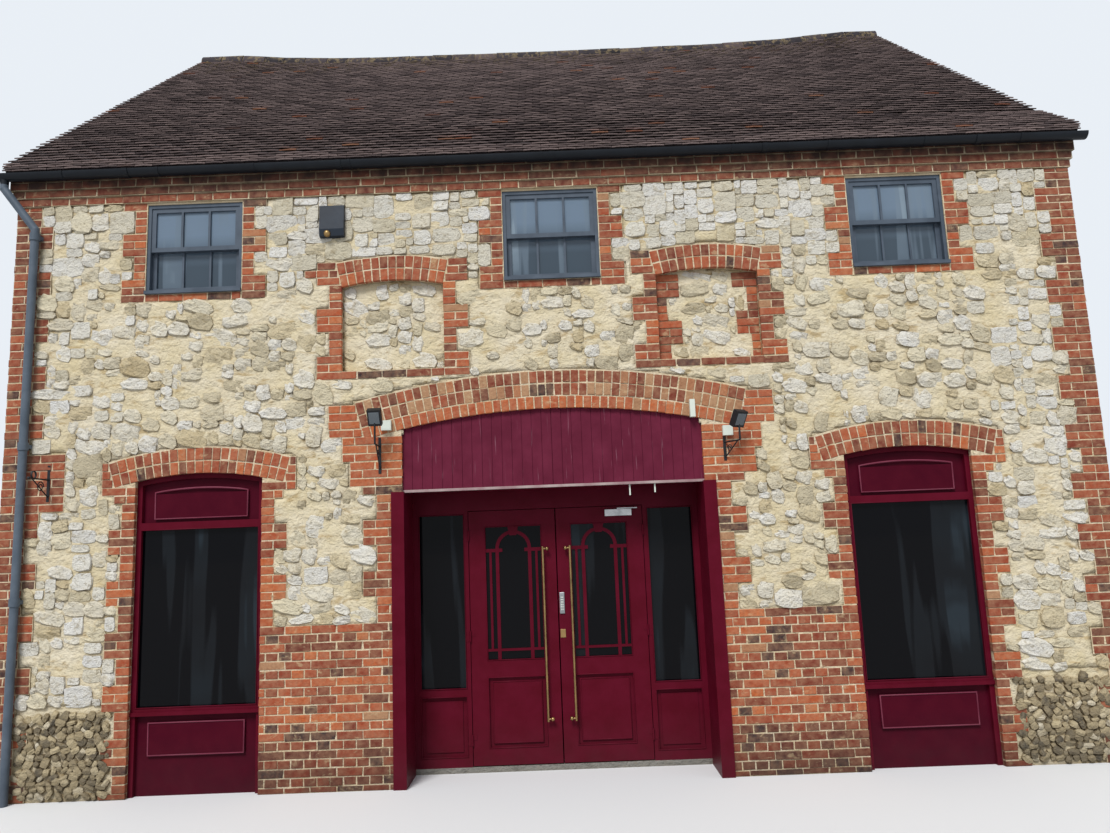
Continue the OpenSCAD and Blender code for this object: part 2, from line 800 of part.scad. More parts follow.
// A window in the order of its pieces, each drawn about the middle of its opening
module at_windows() {
    for (x = sash_x) front_and_back() translate([x, 0, 0]) children();
    for (side = [-1, 1]) gable(side) children();
}
sash_in_w = sash_w - 2 * sash_box;
sash_in_h = sash_h - 2 * sash_box;
meeting = sash_foot + sash_h / 2;
module window_box() {
    depth = 2 * sash_t + sash_set;
    upright(sash_set, depth) difference() {
        translate([-sash_w / 2, sash_foot]) square([sash_w, sash_h]);
        translate([-sash_in_w / 2, sash_foot + sash_box]) square([sash_in_w, sash_in_h]);
    }
    translate([-sash_w / 2, -sill_out, sash_foot]) cube([sash_w, sill_out + sash_set, sash_box]);
}
// One sash with its three panes, between two heights
module sash(near, low, high) {
    pane_w = (sash_in_w - 2 * sash_rail - 2 * sash_bar) / 3;
    upright(near, sash_t) difference() {
        translate([-sash_in_w / 2, low]) square([sash_in_w, high - low]);
        translate([sash_rail - sash_in_w / 2, low + sash_rail])
            square([sash_in_w - 2 * sash_rail, high - low - 2 * sash_rail]);
    }
    upright(near, sash_t / 2) for (s = [-1, 1])
        translate([s * (pane_w + sash_bar) / 2 - sash_bar / 2, low + sash_rail])
            square([sash_bar, high - low - 2 * sash_rail]);
}
module sash_glass(near, low, high) {
    upright(near + sash_t / 2, glass_t) translate([sash_rail - sash_in_w / 2, low + sash_rail])
        square([sash_in_w - 2 * sash_rail, high - low - 2 * sash_rail]);
}
top_near = sash_set + sash_t / 4;
low_near = top_near + sash_t;
module upper_window_frames() { color("dimgray") at_windows() window_box(); }
module top_sashes() {
    color("dimgray") at_windows() sash(top_near, meeting - sash_rail / 2, sash_foot + sash_h - sash_box);
}
module bottom_sashes() {
    color("dimgray") at_windows() sash(low_near, sash_foot + sash_box, meeting + sash_rail / 2);
}
module upper_window_glass() {
    color("lightblue") at_windows() {
        sash_glass(top_near, meeting - sash_rail / 2, sash_foot + sash_h - sash_box);
        sash_glass(low_near, sash_foot + sash_box, meeting + sash_rail / 2);
    }
}

module at_shop_windows() { front_and_back() both_sides() translate([shop_x, 0, 0]) children(); }
shop_in = shop_half - shop_stile;
riser_top = shop_glass_foot - shop_rail;
head_foot = shop_glass_top + shop_rail;
module shop_head_outline() {
    intersection() {
        translate([0, shop_mid]) circle(shop_r - shop_stile, $fn = arc_steps);
        translate([-shop_in, head_foot]) square([2 * shop_in, shop_spring]);
    }
}
module shop_window_frames() {
    color("maroon") at_shop_windows() {
        upright(shop_set, shop_t) difference() {
            arched_opening(shop_half, 0, shop_spring, shop_r, shop_mid);
            translate([-shop_in, -cut]) square([2 * shop_in, riser_top + cut]);
            translate([-shop_in, shop_glass_foot]) square([2 * shop_in, shop_glass_top - shop_glass_foot]);
            shop_head_outline();
        }
        translate([-shop_half, shop_set - lining_t, riser_top])
            cube([2 * shop_half, lining_t, shop_rail / 2]);
    }
}
// The arched board over the glass, with its raised field
module shop_head_panels() {
    field = 110;
    color("maroon") at_shop_windows() {
        upright(shop_set + shop_t - shop_board_t, shop_board_t) shop_head_outline();
        upright(shop_set + shop_t - shop_board_t - lining_t, lining_t) intersection() {
            translate([0, shop_mid]) circle(shop_r - 2 * shop_rail, $fn = arc_steps);
            translate([field - shop_in, head_foot + shop_rail / 2])
                square([2 * (shop_in - field), block_h]);
        }
    }
}
module shop_risers() {
    field = 110;
    color("maroon") at_shop_windows() {
        upright(shop_set + shop_t - shop_board_t, shop_board_t)
            translate([-shop_in, 0]) square([2 * shop_in, riser_top]);
        upright(shop_set + shop_t - shop_board_t - lining_t, lining_t)
            translate([field - shop_in, riser_top / 2])
                square([2 * (shop_in - field), riser_top / 2 - shop_rail]);
    }
}
module shop_window_glass() {
    color("lightblue") at_shop_windows() upright(shop_set + shop_t / 2, glass_t)
        translate([-shop_in, shop_glass_foot]) square([2 * shop_in, shop_glass_top - shop_glass_foot]);
}

module door_pilasters() {
    color("maroon") front() both_sides() {
        translate([inner_half, -pilaster_out, 0]) cube([pilaster_w, pilaster_out, soffit_h]);
        translate([inner_half, 0, 0]) cube([lining_t, screen_set, soffit_h]);
    }
}
module door_beam() {
    color("maroon") front() translate([-door_half, board_set + board_t, soffit_h])
        cube([2 * door_half, screen_set + screen_t - board_set - board_t, beam_h]);
}
module boarded_head() {
    color("maroon") front() upright(board_set, board_t)
        arched_opening(door_half, soffit_h, door_spring, door_r, door_mid);
}
// The screen of posts and rails that the two leaves and the sidelights sit in
side_foot = 90;
side_panel_h = 530;
side_glass_foot = side_foot + floor_h + side_panel_h + 70;
side_glass_top = leaf_top - 25;
outer_post = 55;
mid_post = 44;
side_w = inner_half - outer_post - post_in - mid_post;
module door_frame() {
    color("maroon") front() upright(screen_set, screen_t) difference() {
        translate([-inner_half, floor_h]) square([2 * inner_half, soffit_h - floor_h]);
        translate([-post_in, 0]) square([2 * post_in, leaf_top + leaf_gap]);
        both_sides() translate([post_in + mid_post, 0]) {
            translate([0, floor_h + side_foot]) square([side_w, side_panel_h]);
            translate([0, side_glass_foot]) square([side_w, side_glass_top - side_glass_foot]);
        }
    }
    color("maroon") front() both_sides() at_hinges()
        mirror([1, 0, 0]) translate([0, 0, -knuckle_gap - knuckle_h]) knuckle();
}
module sidelight_panels() {
    color("maroon") front() both_sides() translate([post_in + mid_post, 0, floor_h + side_foot]) {
        translate([0, screen_set + screen_t / 2, 0]) cube([side_w, lining_t, side_panel_h]);
        translate([2 * lining_t, screen_set + screen_t / 2 - lining_t / 2, 2 * lining_t])
            cube([side_w - 4 * lining_t, lining_t / 2, side_panel_h - 4 * lining_t]);
    }
}
module sidelight_glass() {
    color("lightblue") front() both_sides()
        translate([post_in + mid_post, screen_set + screen_t / 2, side_glass_foot])
            cube([side_w, glass_t, side_glass_top - side_glass_foot]);
}
// One door leaf, drawn as the right one with its meeting edge near the middle
glass_foot = leaf_foot + bottom_rail + low_panel_h + lock_rail;
glass_top = leaf_top - top_rail;
glass_l = leaf_start + meeting_stile;
glass_w = leaf_w - meeting_stile - hinge_stile;
glass_x = glass_l + glass_w / 2;
arch_foot = glass_top - 1.22 * bar_arch_r;
module glass_hole() { translate([glass_l, glass_foot]) square([glass_w, glass_top - glass_foot]); }
// Bars in front of the glass: an arch with a keystone on capitals and upright bars
module bar_outline() {
    foot = glass_foot + lock_rail / 2;
    translate([glass_x, arch_foot]) intersection() {
        difference() {
            circle(bar_arch_r);
            circle(bar_arch_r - bar_w);
        }
        translate([-bar_arch_r, 0]) square([2 * bar_arch_r, bar_arch_r]);
    }
    key_foot = arch_foot + bar_arch_r - 1.5 * bar_w;
    polygon([
        [glass_x - bar_w, key_foot], [glass_x + bar_w, key_foot],
        [glass_x + 1.6 * bar_w, glass_top], [glass_x - 1.6 * bar_w, glass_top]
    ]);
    for (s = [-1, 1]) translate([glass_x, 0]) mirror([s < 0 ? 1 : 0, 0]) {
        translate([bar_arch_r - 2 * bar_w, arch_foot - bar_w])
            square([glass_w / 2 + 2 * bar_w - bar_arch_r, bar_w]);
        translate([bar_arch_r - bar_w, glass_foot]) square([bar_w, arch_foot - glass_foot]);
        translate([(bar_arch_r + glass_w / 2 - thin_bar_w) / 2, foot])
            square([thin_bar_w, arch_foot - foot]);
    }
    translate([glass_l, foot]) square([glass_w, thin_bar_w]);
}
module leaf() {
    panel_foot = leaf_foot + bottom_rail;
    upright(leaf_y, leaf_t) difference() {
        translate([leaf_start, leaf_foot]) square([leaf_w, leaf_h]);
        glass_hole();
        translate([glass_l, panel_foot]) square([glass_w, low_panel_h]);
    }
    upright(leaf_y + bar_t / 4, bar_t) intersection() { glass_hole(); bar_outline(); }
    translate([glass_l, leaf_y + leaf_t / 2, panel_foot]) cube([glass_w, leaf_t / 4, low_panel_h]);
    translate([glass_l + 2 * lining_t, leaf_y + leaf_t / 4, panel_foot + 2 * lining_t])
        cube([glass_w - 4 * lining_t, leaf_t / 4, low_panel_h - 4 * lining_t]);
    at_hinges() knuckle();
}
// The middle of each hinge on its line, with the frame side of it along +X
module at_hinges() {
    for (z = [leaf_foot + block_h, leaf_foot + leaf_h / 2, leaf_top - block_h])
        translate([hinge_x, leaf_y - hinge_out, z]) children();
}
// The upper knuckle of a hinge with its plate on the face of the leaf
module knuckle() {
    cylinder(h = knuckle_h, r = knuckle_r);
    translate([-knuckle_r, 0, 0]) cube([knuckle_r / 2, hinge_out, knuckle_h]);
    translate([-hinge_plate, hinge_out - knuckle_r / 2, 0])
        cube([hinge_plate - knuckle_r / 2, knuckle_r / 2, knuckle_h]);
}
module leaf_glass() {
    upright(leaf_y + bar_t * 5 / 4, glass_t) glass_hole();
}
// Long pull handle: a rod with an arm at each end that turns in to a ball on the stile
module handle() {
    rose_x = leaf_start + handle_x - 40;
    rod_y = leaf_y - handle_out;
    translate([leaf_start + handle_x, rod_y, handle_foot]) cylinder(h = handle_l, r = handle_r);
    for (z = [handle_foot + 2 * handle_r, handle_foot + handle_l - 2 * handle_r]) {
        bar([leaf_start + handle_x, rod_y, z], [rose_x, rod_y, z], handle_r * 0.7);
        translate([rose_x, rod_y, z]) sphere(r = handle_r * 1.7);
        bar([rose_x, rod_y, z], [rose_x, leaf_y, z], handle_r * 0.8);
    }
}
module door_leaf_right() { color("maroon") front() leaf(); }
module door_leaf_left() { color("maroon") front() mirror([1, 0, 0]) leaf(); }
module door_glass_right() { color("lightblue") front() leaf_glass(); }
module door_glass_left() { color("lightblue") front() mirror([1, 0, 0]) leaf_glass(); }
module door_handle_right() { color("goldenrod") front() handle(); }
module door_handle_left() { color("goldenrod") front() mirror([1, 0, 0]) handle(); }
// The closer box on the top rail of the right leaf with its folded arm
module door_closer() {
    spindle_r = closer_d / 5;
    color("silver") front()
        translate([leaf_end - 1.4 * closer_l, leaf_y - closer_d, leaf_top - 1.5 * closer_h]) {
            cube([closer_l, closer_d, closer_h]);
            translate([closer_l / 2, closer_d / 2, closer_h])
                cylinder(h = 1.5 * spindle_r, r = spindle_r);
            translate([closer_l / 2 - spindle_r, closer_d / 2 - spindle_r, closer_h + spindle_r / 2])
                cube([closer_arm, 2 * spindle_r, spindle_r]);
        }
}

// A ring of round rod that stands in the plane of a bracket
module scroll(y, z, r) {
    translate([-rod_r, y, z]) along(0, 2 * rod_r) difference() {
        circle(r);
        circle(r - rod_r);
    }
}
module sign_bracket() {
    arm = 0.6 * plate_h;
    color("black") front() translate([-half_w + bracket_in, 0, bracket_foot]) {
        translate([-plate_w / 2, -plate_t, 0]) cube([plate_w, plate_t, plate_h]);
        bar([0, -plate_t / 2, arm], [0, -bracket_out, arm], rod_r);
        bar([0, -plate_t / 2, plate_h / 8], [0, plate_h / 8 - bracket_out, arm], stay_r);
        translate([0, -bracket_out, arm]) sphere(r = 2 * rod_r);
        scroll(plate_h / 5 - bracket_out, arm + 4.5 * rod_r, 5 * rod_r);
    }
}
// Iron bracket beside the door arch with a flood lamp that turns on its post
module lamp_bracket(bar_h, up, turn) {
    arm = lamp_foot + 0.75 * bar_h;
    translate([-plate_w / 2, -plate_t, lamp_foot]) cube([plate_w, plate_t, bar_h]);
    rotate([0, 0, turn]) {
        bar([0, -plate_t / 2, arm], [0, -lamp_out, arm], rod_r);
        bar([0, -plate_t / 2, lamp_foot + bar_h / 8], [0, bar_h / 8 - lamp_out, arm], stay_r);
        bar([0, -lamp_out, arm], [0, -lamp_out, arm + up], post_r);
        translate([0, -lamp_out, arm + up]) rotate([30, 0, 0])
            cube([lamp_w, lamp_d, lamp_h], center = true);
    }
}
module lamp_brackets() {
    color("black") front() {
        translate([-lamp_x, 0, 0]) lamp_bracket(plate_h, left_lamp_up, 0);
        translate([lamp_x, 0, 0]) lamp_bracket(short_plate_h, right_lamp_up, lamp_turn);
    }
}
// The boxes for the cable joints of the lamps, and the sensor at the right end of the arch
module wall_boxes() {
    color("white") front() {
        translate([-lamp_x + plate_w / 2 + box_gap, -joint_box / 2, lamp_foot + left_box_up])
            cube([joint_box, joint_box / 2, joint_box]);
        translate([lamp_x - plate_w / 2, -joint_box / 2, lamp_foot + right_box_up])
            cube([joint_box, joint_box / 2, joint_box]);
        translate([sensor_x - sensor_w / 2, -sensor_d, door_spring + sensor_over])
            cube([sensor_w, sensor_d, sensor_h]);
    }
}
module alarm_box() {
    color("black") front() translate([alarm_x - alarm_w / 2, stone_set, alarm_foot]) along(0, alarm_w)
        polygon([
            [0, 0], [-0.8 * alarm_d, 0.04 * alarm_h], [-alarm_d, 0.25 * alarm_h],
            [-0.8 * alarm_d, alarm_h], [0, alarm_h]
        ]);
}

floor_slab();
first_floor();
front_wall_left();
front_wall_right();
front_wall_upper();
back_wall();
left_gable_wall();
right_gable_wall();
corner_quoins();
doorway_brickwork();
door_arch();
brick_panels();
flint_panels();
shop_window_brickwork();
upper_window_brickwork();
blind_window_brickwork();
blind_window_infill();
cornice();
roof_front_slope();
roof_back_slope();
ridge_tiles();
gutters();
gutter_brackets();
downpipes();
upper_window_frames();
top_sashes();
bottom_sashes();
upper_window_glass();
shop_window_frames();
shop_head_panels();
shop_risers();
shop_window_glass();
door_pilasters();
door_beam();
boarded_head();
door_frame();
sidelight_panels();
sidelight_glass();
door_leaf_left();
door_glass_left();
door_handle_left();
door_leaf_right();
door_glass_right();
door_handle_right();
door_closer();
sign_bracket();
lamp_brackets();
wall_boxes();
alarm_box();
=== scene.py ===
import bpy
import math
import random
from mathutils import Euler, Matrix, Quaternion, Vector, noise


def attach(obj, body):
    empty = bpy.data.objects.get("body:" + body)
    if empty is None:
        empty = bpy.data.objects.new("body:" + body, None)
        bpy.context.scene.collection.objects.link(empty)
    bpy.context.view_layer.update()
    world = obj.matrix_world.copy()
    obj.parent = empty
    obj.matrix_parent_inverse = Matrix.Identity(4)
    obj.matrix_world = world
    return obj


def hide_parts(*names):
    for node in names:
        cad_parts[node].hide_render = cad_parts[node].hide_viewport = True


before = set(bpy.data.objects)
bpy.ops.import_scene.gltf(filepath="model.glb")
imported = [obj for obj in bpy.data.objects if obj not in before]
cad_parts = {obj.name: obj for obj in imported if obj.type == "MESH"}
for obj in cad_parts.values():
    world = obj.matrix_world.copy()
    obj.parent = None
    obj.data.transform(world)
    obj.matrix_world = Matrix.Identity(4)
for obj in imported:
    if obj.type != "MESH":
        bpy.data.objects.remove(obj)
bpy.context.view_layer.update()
chance = random.Random(7)

# Sizes of the building, the same as in the part's source, in metres
HALF_W, HALF_D, WALL_T, WALL_TOP = 4.985, 4.1, .5, 5.37
FRONT, HALF_IN = -HALF_D, HALF_W - WALL_T
COURSE, JOINT, BLOCK, RING = .075, .010, .225, .119
QUOIN_SHORT, QUOIN_LONG, PATCH_W = .235, .35, .57
JAMB_SHORT, JAMB_LONG, DOOR_SHORT, DOOR_LONG = .115, .228, .23, .355
PANEL_TOP, FLINT_TOP = 1.4, .78
DOOR_HALF, DOOR_SPRING, DOOR_RISE, DOOR_SEAT = 1.365, 3.11, .145, 1.7
SOFFIT, BOARD_SET = 2.54, .04
SHOP_X, SHOP_HALF, SHOP_SPRING, SHOP_RISE, SHOP_SEAT = 3.2, .575, 2.725, .06, .765
SASH_X, SASH_HALF, SASH_H = (-3.298, .062, 3.322), .45, .88
SASH_FOOT = WALL_TOP - .02 - SASH_H
BLIND_X, BLIND_HALF, BLIND_FOOT, BLIND_H, BLIND_RISE = (-1.435, 1.5), .4775, 3.59, .885, .052
BLIND_SPRING, BLIND_D = BLIND_FOOT + BLIND_H, .068
EAVES, RIDGE, EAVES_OUT, VERGE, ROOF_T = 5.725, 9.39, .15, HALF_W + .065, .13
RIDGE_SAG, KICK, KICK_RUN, RIDGE_HALF, RIDGE_RISE = .125, .06, .545, .11, .15
GUTTER_Y, GUTTER_Z, GUTTER_R = HALF_D + .114, 5.65, .06
LAMP_X, LAMP_OUT, LAMP_LEAN = DOOR_HALF + .195, .21, math.radians(30)

# Openings of the joinery that the raised beads run round, as half widths, widths or heights
SHOP_GLASS_HALF, SHOP_GLASS_Z = .53, (.74, 2.285)
SHOP_PANEL_HALF, RISER_Z, HEAD_Z, HEAD_IN = .42, (.3375, .61), 2.3825, .13
SIDELIGHT_U, SIDELIGHT_Z = (.867, 1.288), ((.14, .67), (.74, 2.33))
LEAF_Y, LEAF_U, LEAF_PANEL_Z, LEAF_GLASS_Z = FRONT + .43, (.14, .668), (.21, .83), (.985, 2.205)
FIELD_IN = .04

# Lengths of bricks with their joint, how deep they are drawn, how far they stand out or pass an edge
STRETCHER, THREE_QUARTER, HEADER, CLOSER = .2275, .1706, .1138, .0569
BRICK_DEEP, PROUD, REVEAL = .045, .004, .009

# Stones are laid on columns of one step, in courses of these heights, on beds that are level to a little
STEP, GAP, LEVEL, STONE_DEEP, STONE_HEIGHTS = .02, .008, .022, .08, (.07, .085, .1, .12, .14, .17)
THIN, FULL = .045, 99

# Plain tiles: how many across, the gauge up the slope, their length, thickness and tilt
TILES, GAUGE, TILE_LONG, TILE_T, TILE_TILT = 61, .1, .128, .012, .24

FACES = {"front": (0, 0, FRONT), "back": (math.pi, 0, HALF_D),
         "right": (math.pi / 2, HALF_W, 0), "left": (-math.pi / 2, -HALF_W, 0)}

# The camera that took the photograph, and the light: what things receive and what is seen
CAMERA_AT, PITCH, YAW, ROLL, LENS, SENSOR = (.055, -11.613, 2.05), 98.49, .13, -2.2, 27.05, 36
FLOOR_LIT, FLOOR_SEEN, SKY_LIT, SKY_SEEN, SKY = .35, .75, .62, .95, (.86, .91, .97, 1)
SUN_POWER, SUN_WIDTH, SUN_HEIGHT, SUN_SIDE = 2.6, 20, 41, -18


# Nodes
def add(tree, kind, ins=(), **settings):
    """A node with its settings. An input is a plain value or another node's output."""
    made = tree.nodes.new(kind)
    for key, value in settings.items():
        setattr(made, key, value)
    for key, value in dict(ins).items():
        if isinstance(value, bpy.types.NodeSocket):
            tree.links.new(value, made.inputs[key])
        else:
            made.inputs[key].default_value = value
    return made


def maths(tree, operation, first, second, clamp=False):
    return add(tree, "ShaderNodeMath", {0: first, 1: second}, operation=operation, use_clamp=clamp).outputs[0]


def span(tree, value, low, high, start=0., end=1.):
    """A value brought from one range to another."""
    return add(tree, "ShaderNodeMapRange", {0: value, 1: low, 2: high, 3: start, 4: end}).outputs[0]


def looked_at(tree):
    """One where a ray is seen directly, in a mirror or through glass, otherwise nought."""
    rays = add(tree, "ShaderNodeLightPath").outputs
    seen = maths(tree, "ADD", rays["Is Camera Ray"], rays["Is Glossy Ray"])
    return maths(tree, "ADD", seen, rays["Is Transmission Ray"], True)


def place_of(tree):
    return add(tree, "ShaderNodeTexCoord").outputs["Object"]


def height_of(tree):
    return add(tree, "ShaderNodeSeparateXYZ", {0: place_of(tree)}).outputs["Z"]


def stretched(tree, across, deep, up):
    """The place of a point, drawn out along the axes."""
    factors = add(tree, "ShaderNodeCombineXYZ", {0: across, 1: deep, 2: up}).outputs[0]
    return add(tree, "ShaderNodeVectorMath", {0: place_of(tree), 1: factors}, operation="MULTIPLY").outputs[0]


def cloud(tree, where, scale, **settings):
    ins = {"Vector": where, "Scale": scale, **settings}
    return add(tree, "ShaderNodeTexNoise", ins).outputs["Fac"]


def paint(code):
    """A colour written as on a paint card, as the shader wants it."""
    parts = [int(code[i:i + 2], 16) / 255 for i in (1, 3, 5)]
    return [c / 12.92 if c < .04045 else ((c + .055) / 1.055) ** 2.4 for c in parts] + [1]


def mix(tree, amount, first, second):
    first, second = (paint(c) if isinstance(c, str) else c for c in (first, second))
    return add(tree, "ShaderNodeMix", {0: amount, 6: first, 7: second}, data_type="RGBA").outputs[2]


# Effects that the materials share
def shader_group(name, ins, outs):
    tree = bpy.data.node_groups.new(name, "ShaderNodeTree")
    for label in ins:
        tree.interface.new_socket(label, in_out="INPUT", socket_type="NodeSocketFloat")
    for label in outs:
        tree.interface.new_socket(label, in_out="OUTPUT", socket_type="NodeSocketFloat")
    return tree, tree.nodes.new("NodeGroupInput").outputs, tree.nodes.new("NodeGroupOutput").inputs


def patches_group():
    """Soft patches and fine specks, both from 0 to 1, and the specks as a height."""
    tree, given, out = shader_group("patches", ["Patch size", "Speck size"], ["Patches", "Specks", "Height"])
    where = place_of(tree)
    for i in (0, 1):
        spots = cloud(tree, where, given[i], Detail=3 + i, Roughness=.6)
        tree.links.new(span(tree, spots, .32, .68), out[i])
    tree.links.new(spots, out[2])
    return tree


def streaks_group():
    """Marks drawn out upwards or sideways, from 0 to 1, with the height of what they cut."""
    tree, given, out = shader_group("streaks", ["Size", "Up", "From", "To"], ["Mask", "Height"])
    drawn = stretched(tree, 1, 1, given["Up"])
    marks = cloud(tree, drawn, given["Size"], Detail=5, Roughness=.6, Distortion=.4)
    tree.links.new(span(tree, marks, given["From"], given["To"]), out[0])
    tree.links.new(marks, out[1])
    return tree


def grime_and_eaves_shade_group():
    """Painted shade under the eaves, and dirt near the ground, broken up by noise."""
    tree, given, out = shader_group("grime_and_eaves_shade", ["Amount", "Eaves shade"], ["Mask"])
    where = place_of(tree)
    height = add(tree, "ShaderNodeSeparateXYZ", {0: where}).outputs["Z"]
    # Above the wall top: painted shade under the gutter and eaves.
    high = maths(tree, "MULTIPLY", span(tree, height, 5.38, 5.56), given["Eaves shade"])
    both = maths(tree, "ADD", span(tree, height, .5, 0), high)
    broken = maths(tree, "MULTIPLY", both, cloud(tree, where, 7, Detail=5))
    tree.links.new(maths(tree, "MULTIPLY", broken, given["Amount"], True), out[0])
    return tree


PATCHES, STREAKS, GRIME_AND_EAVES_SHADE = patches_group(), streaks_group(), grime_and_eaves_shade_group()


# Materials
class Coat:
    """A material whose tone is laid on in coats, one over the other."""

    def __init__(self, name, roughness, **plain):
        self.material = bpy.data.materials.new(name)
        self.material.use_nodes = True
        self.tree = self.material.node_tree
        self.shader = self.tree.nodes["Principled BSDF"].inputs
        self.tone = None
        for key, value in {"Roughness": roughness, **plain}.items():
            self.shader[key.replace("_", " ")].default_value = value

    def group(self, kind, *values):
        made = add(self.tree, "ShaderNodeGroup", node_tree=kind)
        for socket, value in zip(made.inputs, values):
            socket.default_value = value
        return made.outputs

    def patches(self, patch_size, speck_size):
        return self.group(PATCHES, patch_size, speck_size)

    def streaks(self, size, up, low=.56, high=.66):
        return self.group(STREAKS, size, up, low, high)

    def own(self, name):
        """What a brick, stone or tile holds under this name at each point."""
        return add(self.tree, "ShaderNodeAttribute", attribute_name=name).outputs["Fac"]

    def ramp(self, value, stops):
        made = add(self.tree, "ShaderNodeValToRGB", {0: value})
        while len(made.color_ramp.elements) < len(stops):
            made.color_ramp.elements.new(.5)
        for element, (place, code) in zip(made.color_ramp.elements, stops):
            element.position, element.color = place, paint(code)
        self.tone = made.outputs[0]

    def over(self, mask, amount, colour):
        """A coat of a colour where the mask says, laid on at this strength."""
        self.tone = mix(self.tree, maths(self.tree, "MULTIPLY", mask, amount), self.tone, colour)

    def shade_in_hollows(self, reach, amount, colour, dark=.3):
        """Painted shade: a darker coat where ambient occlusion finds narrow hollows."""
        shut = add(self.tree, "ShaderNodeAmbientOcclusion", {"Distance": reach}, samples=4).outputs["AO"]
        self.over(span(self.tree, shut, .82, dark), amount, colour)

    # Dirt near the ground, and painted shade under the eaves when eaves is given.
    def grime_and_eaves_shade(self, amount, colour, eaves=0):
        self.tone = mix(self.tree, self.group(GRIME_AND_EAVES_SHADE, amount, eaves)[0], self.tone, colour)

    def bump(self, height, strength, distance):
        ins = {"Height": height, "Strength": strength, "Distance": distance}
        made = add(self.tree, "ShaderNodeBump", ins)
        self.tree.links.new(made.outputs[0], self.shader["Normal"])

    def rough_bump(self, ridges, specks, amount):
        """A coarse relief of ridges with specks on them."""
        fine = maths(self.tree, "MULTIPLY", specks, amount)
        self.bump(maths(self.tree, "ADD", ridges, fine), 1, .03)

    def vary_roughness(self, specks, low, high):
        self.tree.links.new(span(self.tree, specks, 0, 1, low, high), self.shader["Roughness"])

    def done(self):
        self.tree.links.new(self.tone, self.shader["Base Color"])
        return self.material


def lime_mortar(name, main, pale, stain, size, streaks, hollow_shade=.75, eaves=0):
    coat = Coat(name, .95, Specular_IOR_Level=.2)
    cover = coat.patches(size, 45)
    coat.tone = mix(coat.tree, cover["Patches"], main, pale)
    coat.over(cover["Specks"], .2, stain)
    # Brown streaks: stains, and painted shade of small cracks in the mortar.
    coat.over(coat.streaks(5, 2.6)["Mask"], streaks, stain)
    coat.over(coat.streaks(26, 1.7, .6)["Mask"], streaks * .6, "#9A8258")
    # Painted shade in the hollows round the stones.
    coat.shade_in_hollows(.04, hollow_shade, "#6E5634")
    # Dirt near the ground, and painted shade under the eaves for the brick mortar.
    coat.grime_and_eaves_shade(.5, "#5A4E3E", eaves)
    coat.rough_bump(coat.streaks(11, 1.5)["Height"], cover["Height"], .35)
    return coat.done()


def rubble_stone(name, stops, film, specks=60, hollow_shade=.7):
    coat = Coat(name, .92, Specular_IOR_Level=.2)
    cover, marks = coat.patches(11, specks), coat.streaks(13, 1.3, .57, .7)
    coat.ramp(coat.own("shade"), stops)
    coat.over(cover["Patches"], .4, film)
    coat.over(marks["Mask"], .5, "#AC9A76")
    coat.over(cover["Specks"], .22, "#A39B8C")
    # Fine brown lines: painted shade of small cracks and pits.
    coat.over(coat.streaks(32, 1.3, .57, .64)["Mask"], .5, "#94825F")
    # Painted shade in the hollows between the stones.
    coat.shade_in_hollows(.035, hollow_shade, "#5E4A2E")
    coat.grime_and_eaves_shade(.7, "#5F574A")
    coat.rough_bump(marks["Height"], cover["Height"], .5)
    return coat.done()


def fired_clay(name, stops, dust):
    coat = Coat(name, .85, Specular_IOR_Level=.25)
    cover = coat.patches(17, 38)
    coat.ramp(coat.own("shade"), stops)
    coat.over(cover["Specks"], .4, "#6E3226")
    coat.over(cover["Patches"], .35, dust)
    coat.over(coat.streaks(11, 1.5, .6, .68)["Mask"], .45, "#CDB48C")
    # Dirt near the ground, and painted shade under the eaves on the cornice.
    coat.grime_and_eaves_shade(1, "#33241F", 1.7)
    coat.bump(cover["Height"], .8, .008)
    return coat.done()


def roof_tile(name, stops, worn, lichen):
    """Dark tiles with paler tails, more so on some tiles than others, and lichen near the ridge; the pale
    tails are partly wear, partly painted highlight.
    """
    coat = Coat(name, .85, Specular_IOR_Level=.3)
    tree, shade, cover = coat.tree, coat.own("shade"), coat.patches(7, 90)
    coat.ramp(shade, stops)
    coat.over(cover["Patches"], .35, "#4E454C")
    flick = maths(tree, "FRACT", maths(tree, "MULTIPLY", shade, 17.3), 0)
    # Paler tails: partly wear, partly painted highlight along the lit tails.
    tail = maths(tree, "MULTIPLY", span(tree, coat.own("edge"), .85, 1), span(tree, flick, 0, 1, .3, 1))
    coat.over(tail, span(tree, shade, .9, .94, 1, .1), worn)
    coat.over(coat.streaks(15, 1, .5, .6)["Mask"], span(tree, height_of(tree), 8.5, 9.3, .05, .8), lichen)
    # Painted shade, nearly black, in the hollows under the tails.
    coat.shade_in_hollows(.03, .9, "#0A080A", .4)
    coat.bump(cover["Height"], .7, .008)
    return coat.done()


def old_paint(name, code, worn, roughness, level, dirt=.35, scratches=0.):
    coat = Coat(name, roughness, Specular_IOR_Level=level)
    cover = coat.patches(5, 90)
    coat.tone = paint(code)
    coat.over(cover["Patches"], .6, worn)
    if scratches:
        coat.over(coat.streaks(48, .04, .64, .74)["Mask"], scratches, "#B88A98")
    coat.grime_and_eaves_shade(dirt, "#3A3030")
    coat.vary_roughness(cover["Specks"], roughness - .06, roughness + .12)
    coat.bump(cover["Height"], .15, .002)
    return coat.done()


def metal(name, code, dull, roughness):
    coat = Coat(name, roughness, Metallic=1)
    cover = coat.patches(8, 160)
    coat.tone = mix(coat.tree, cover["Patches"], code, dull)
    coat.vary_roughness(cover["Specks"], roughness - .1, roughness + .15)
    return coat.done()


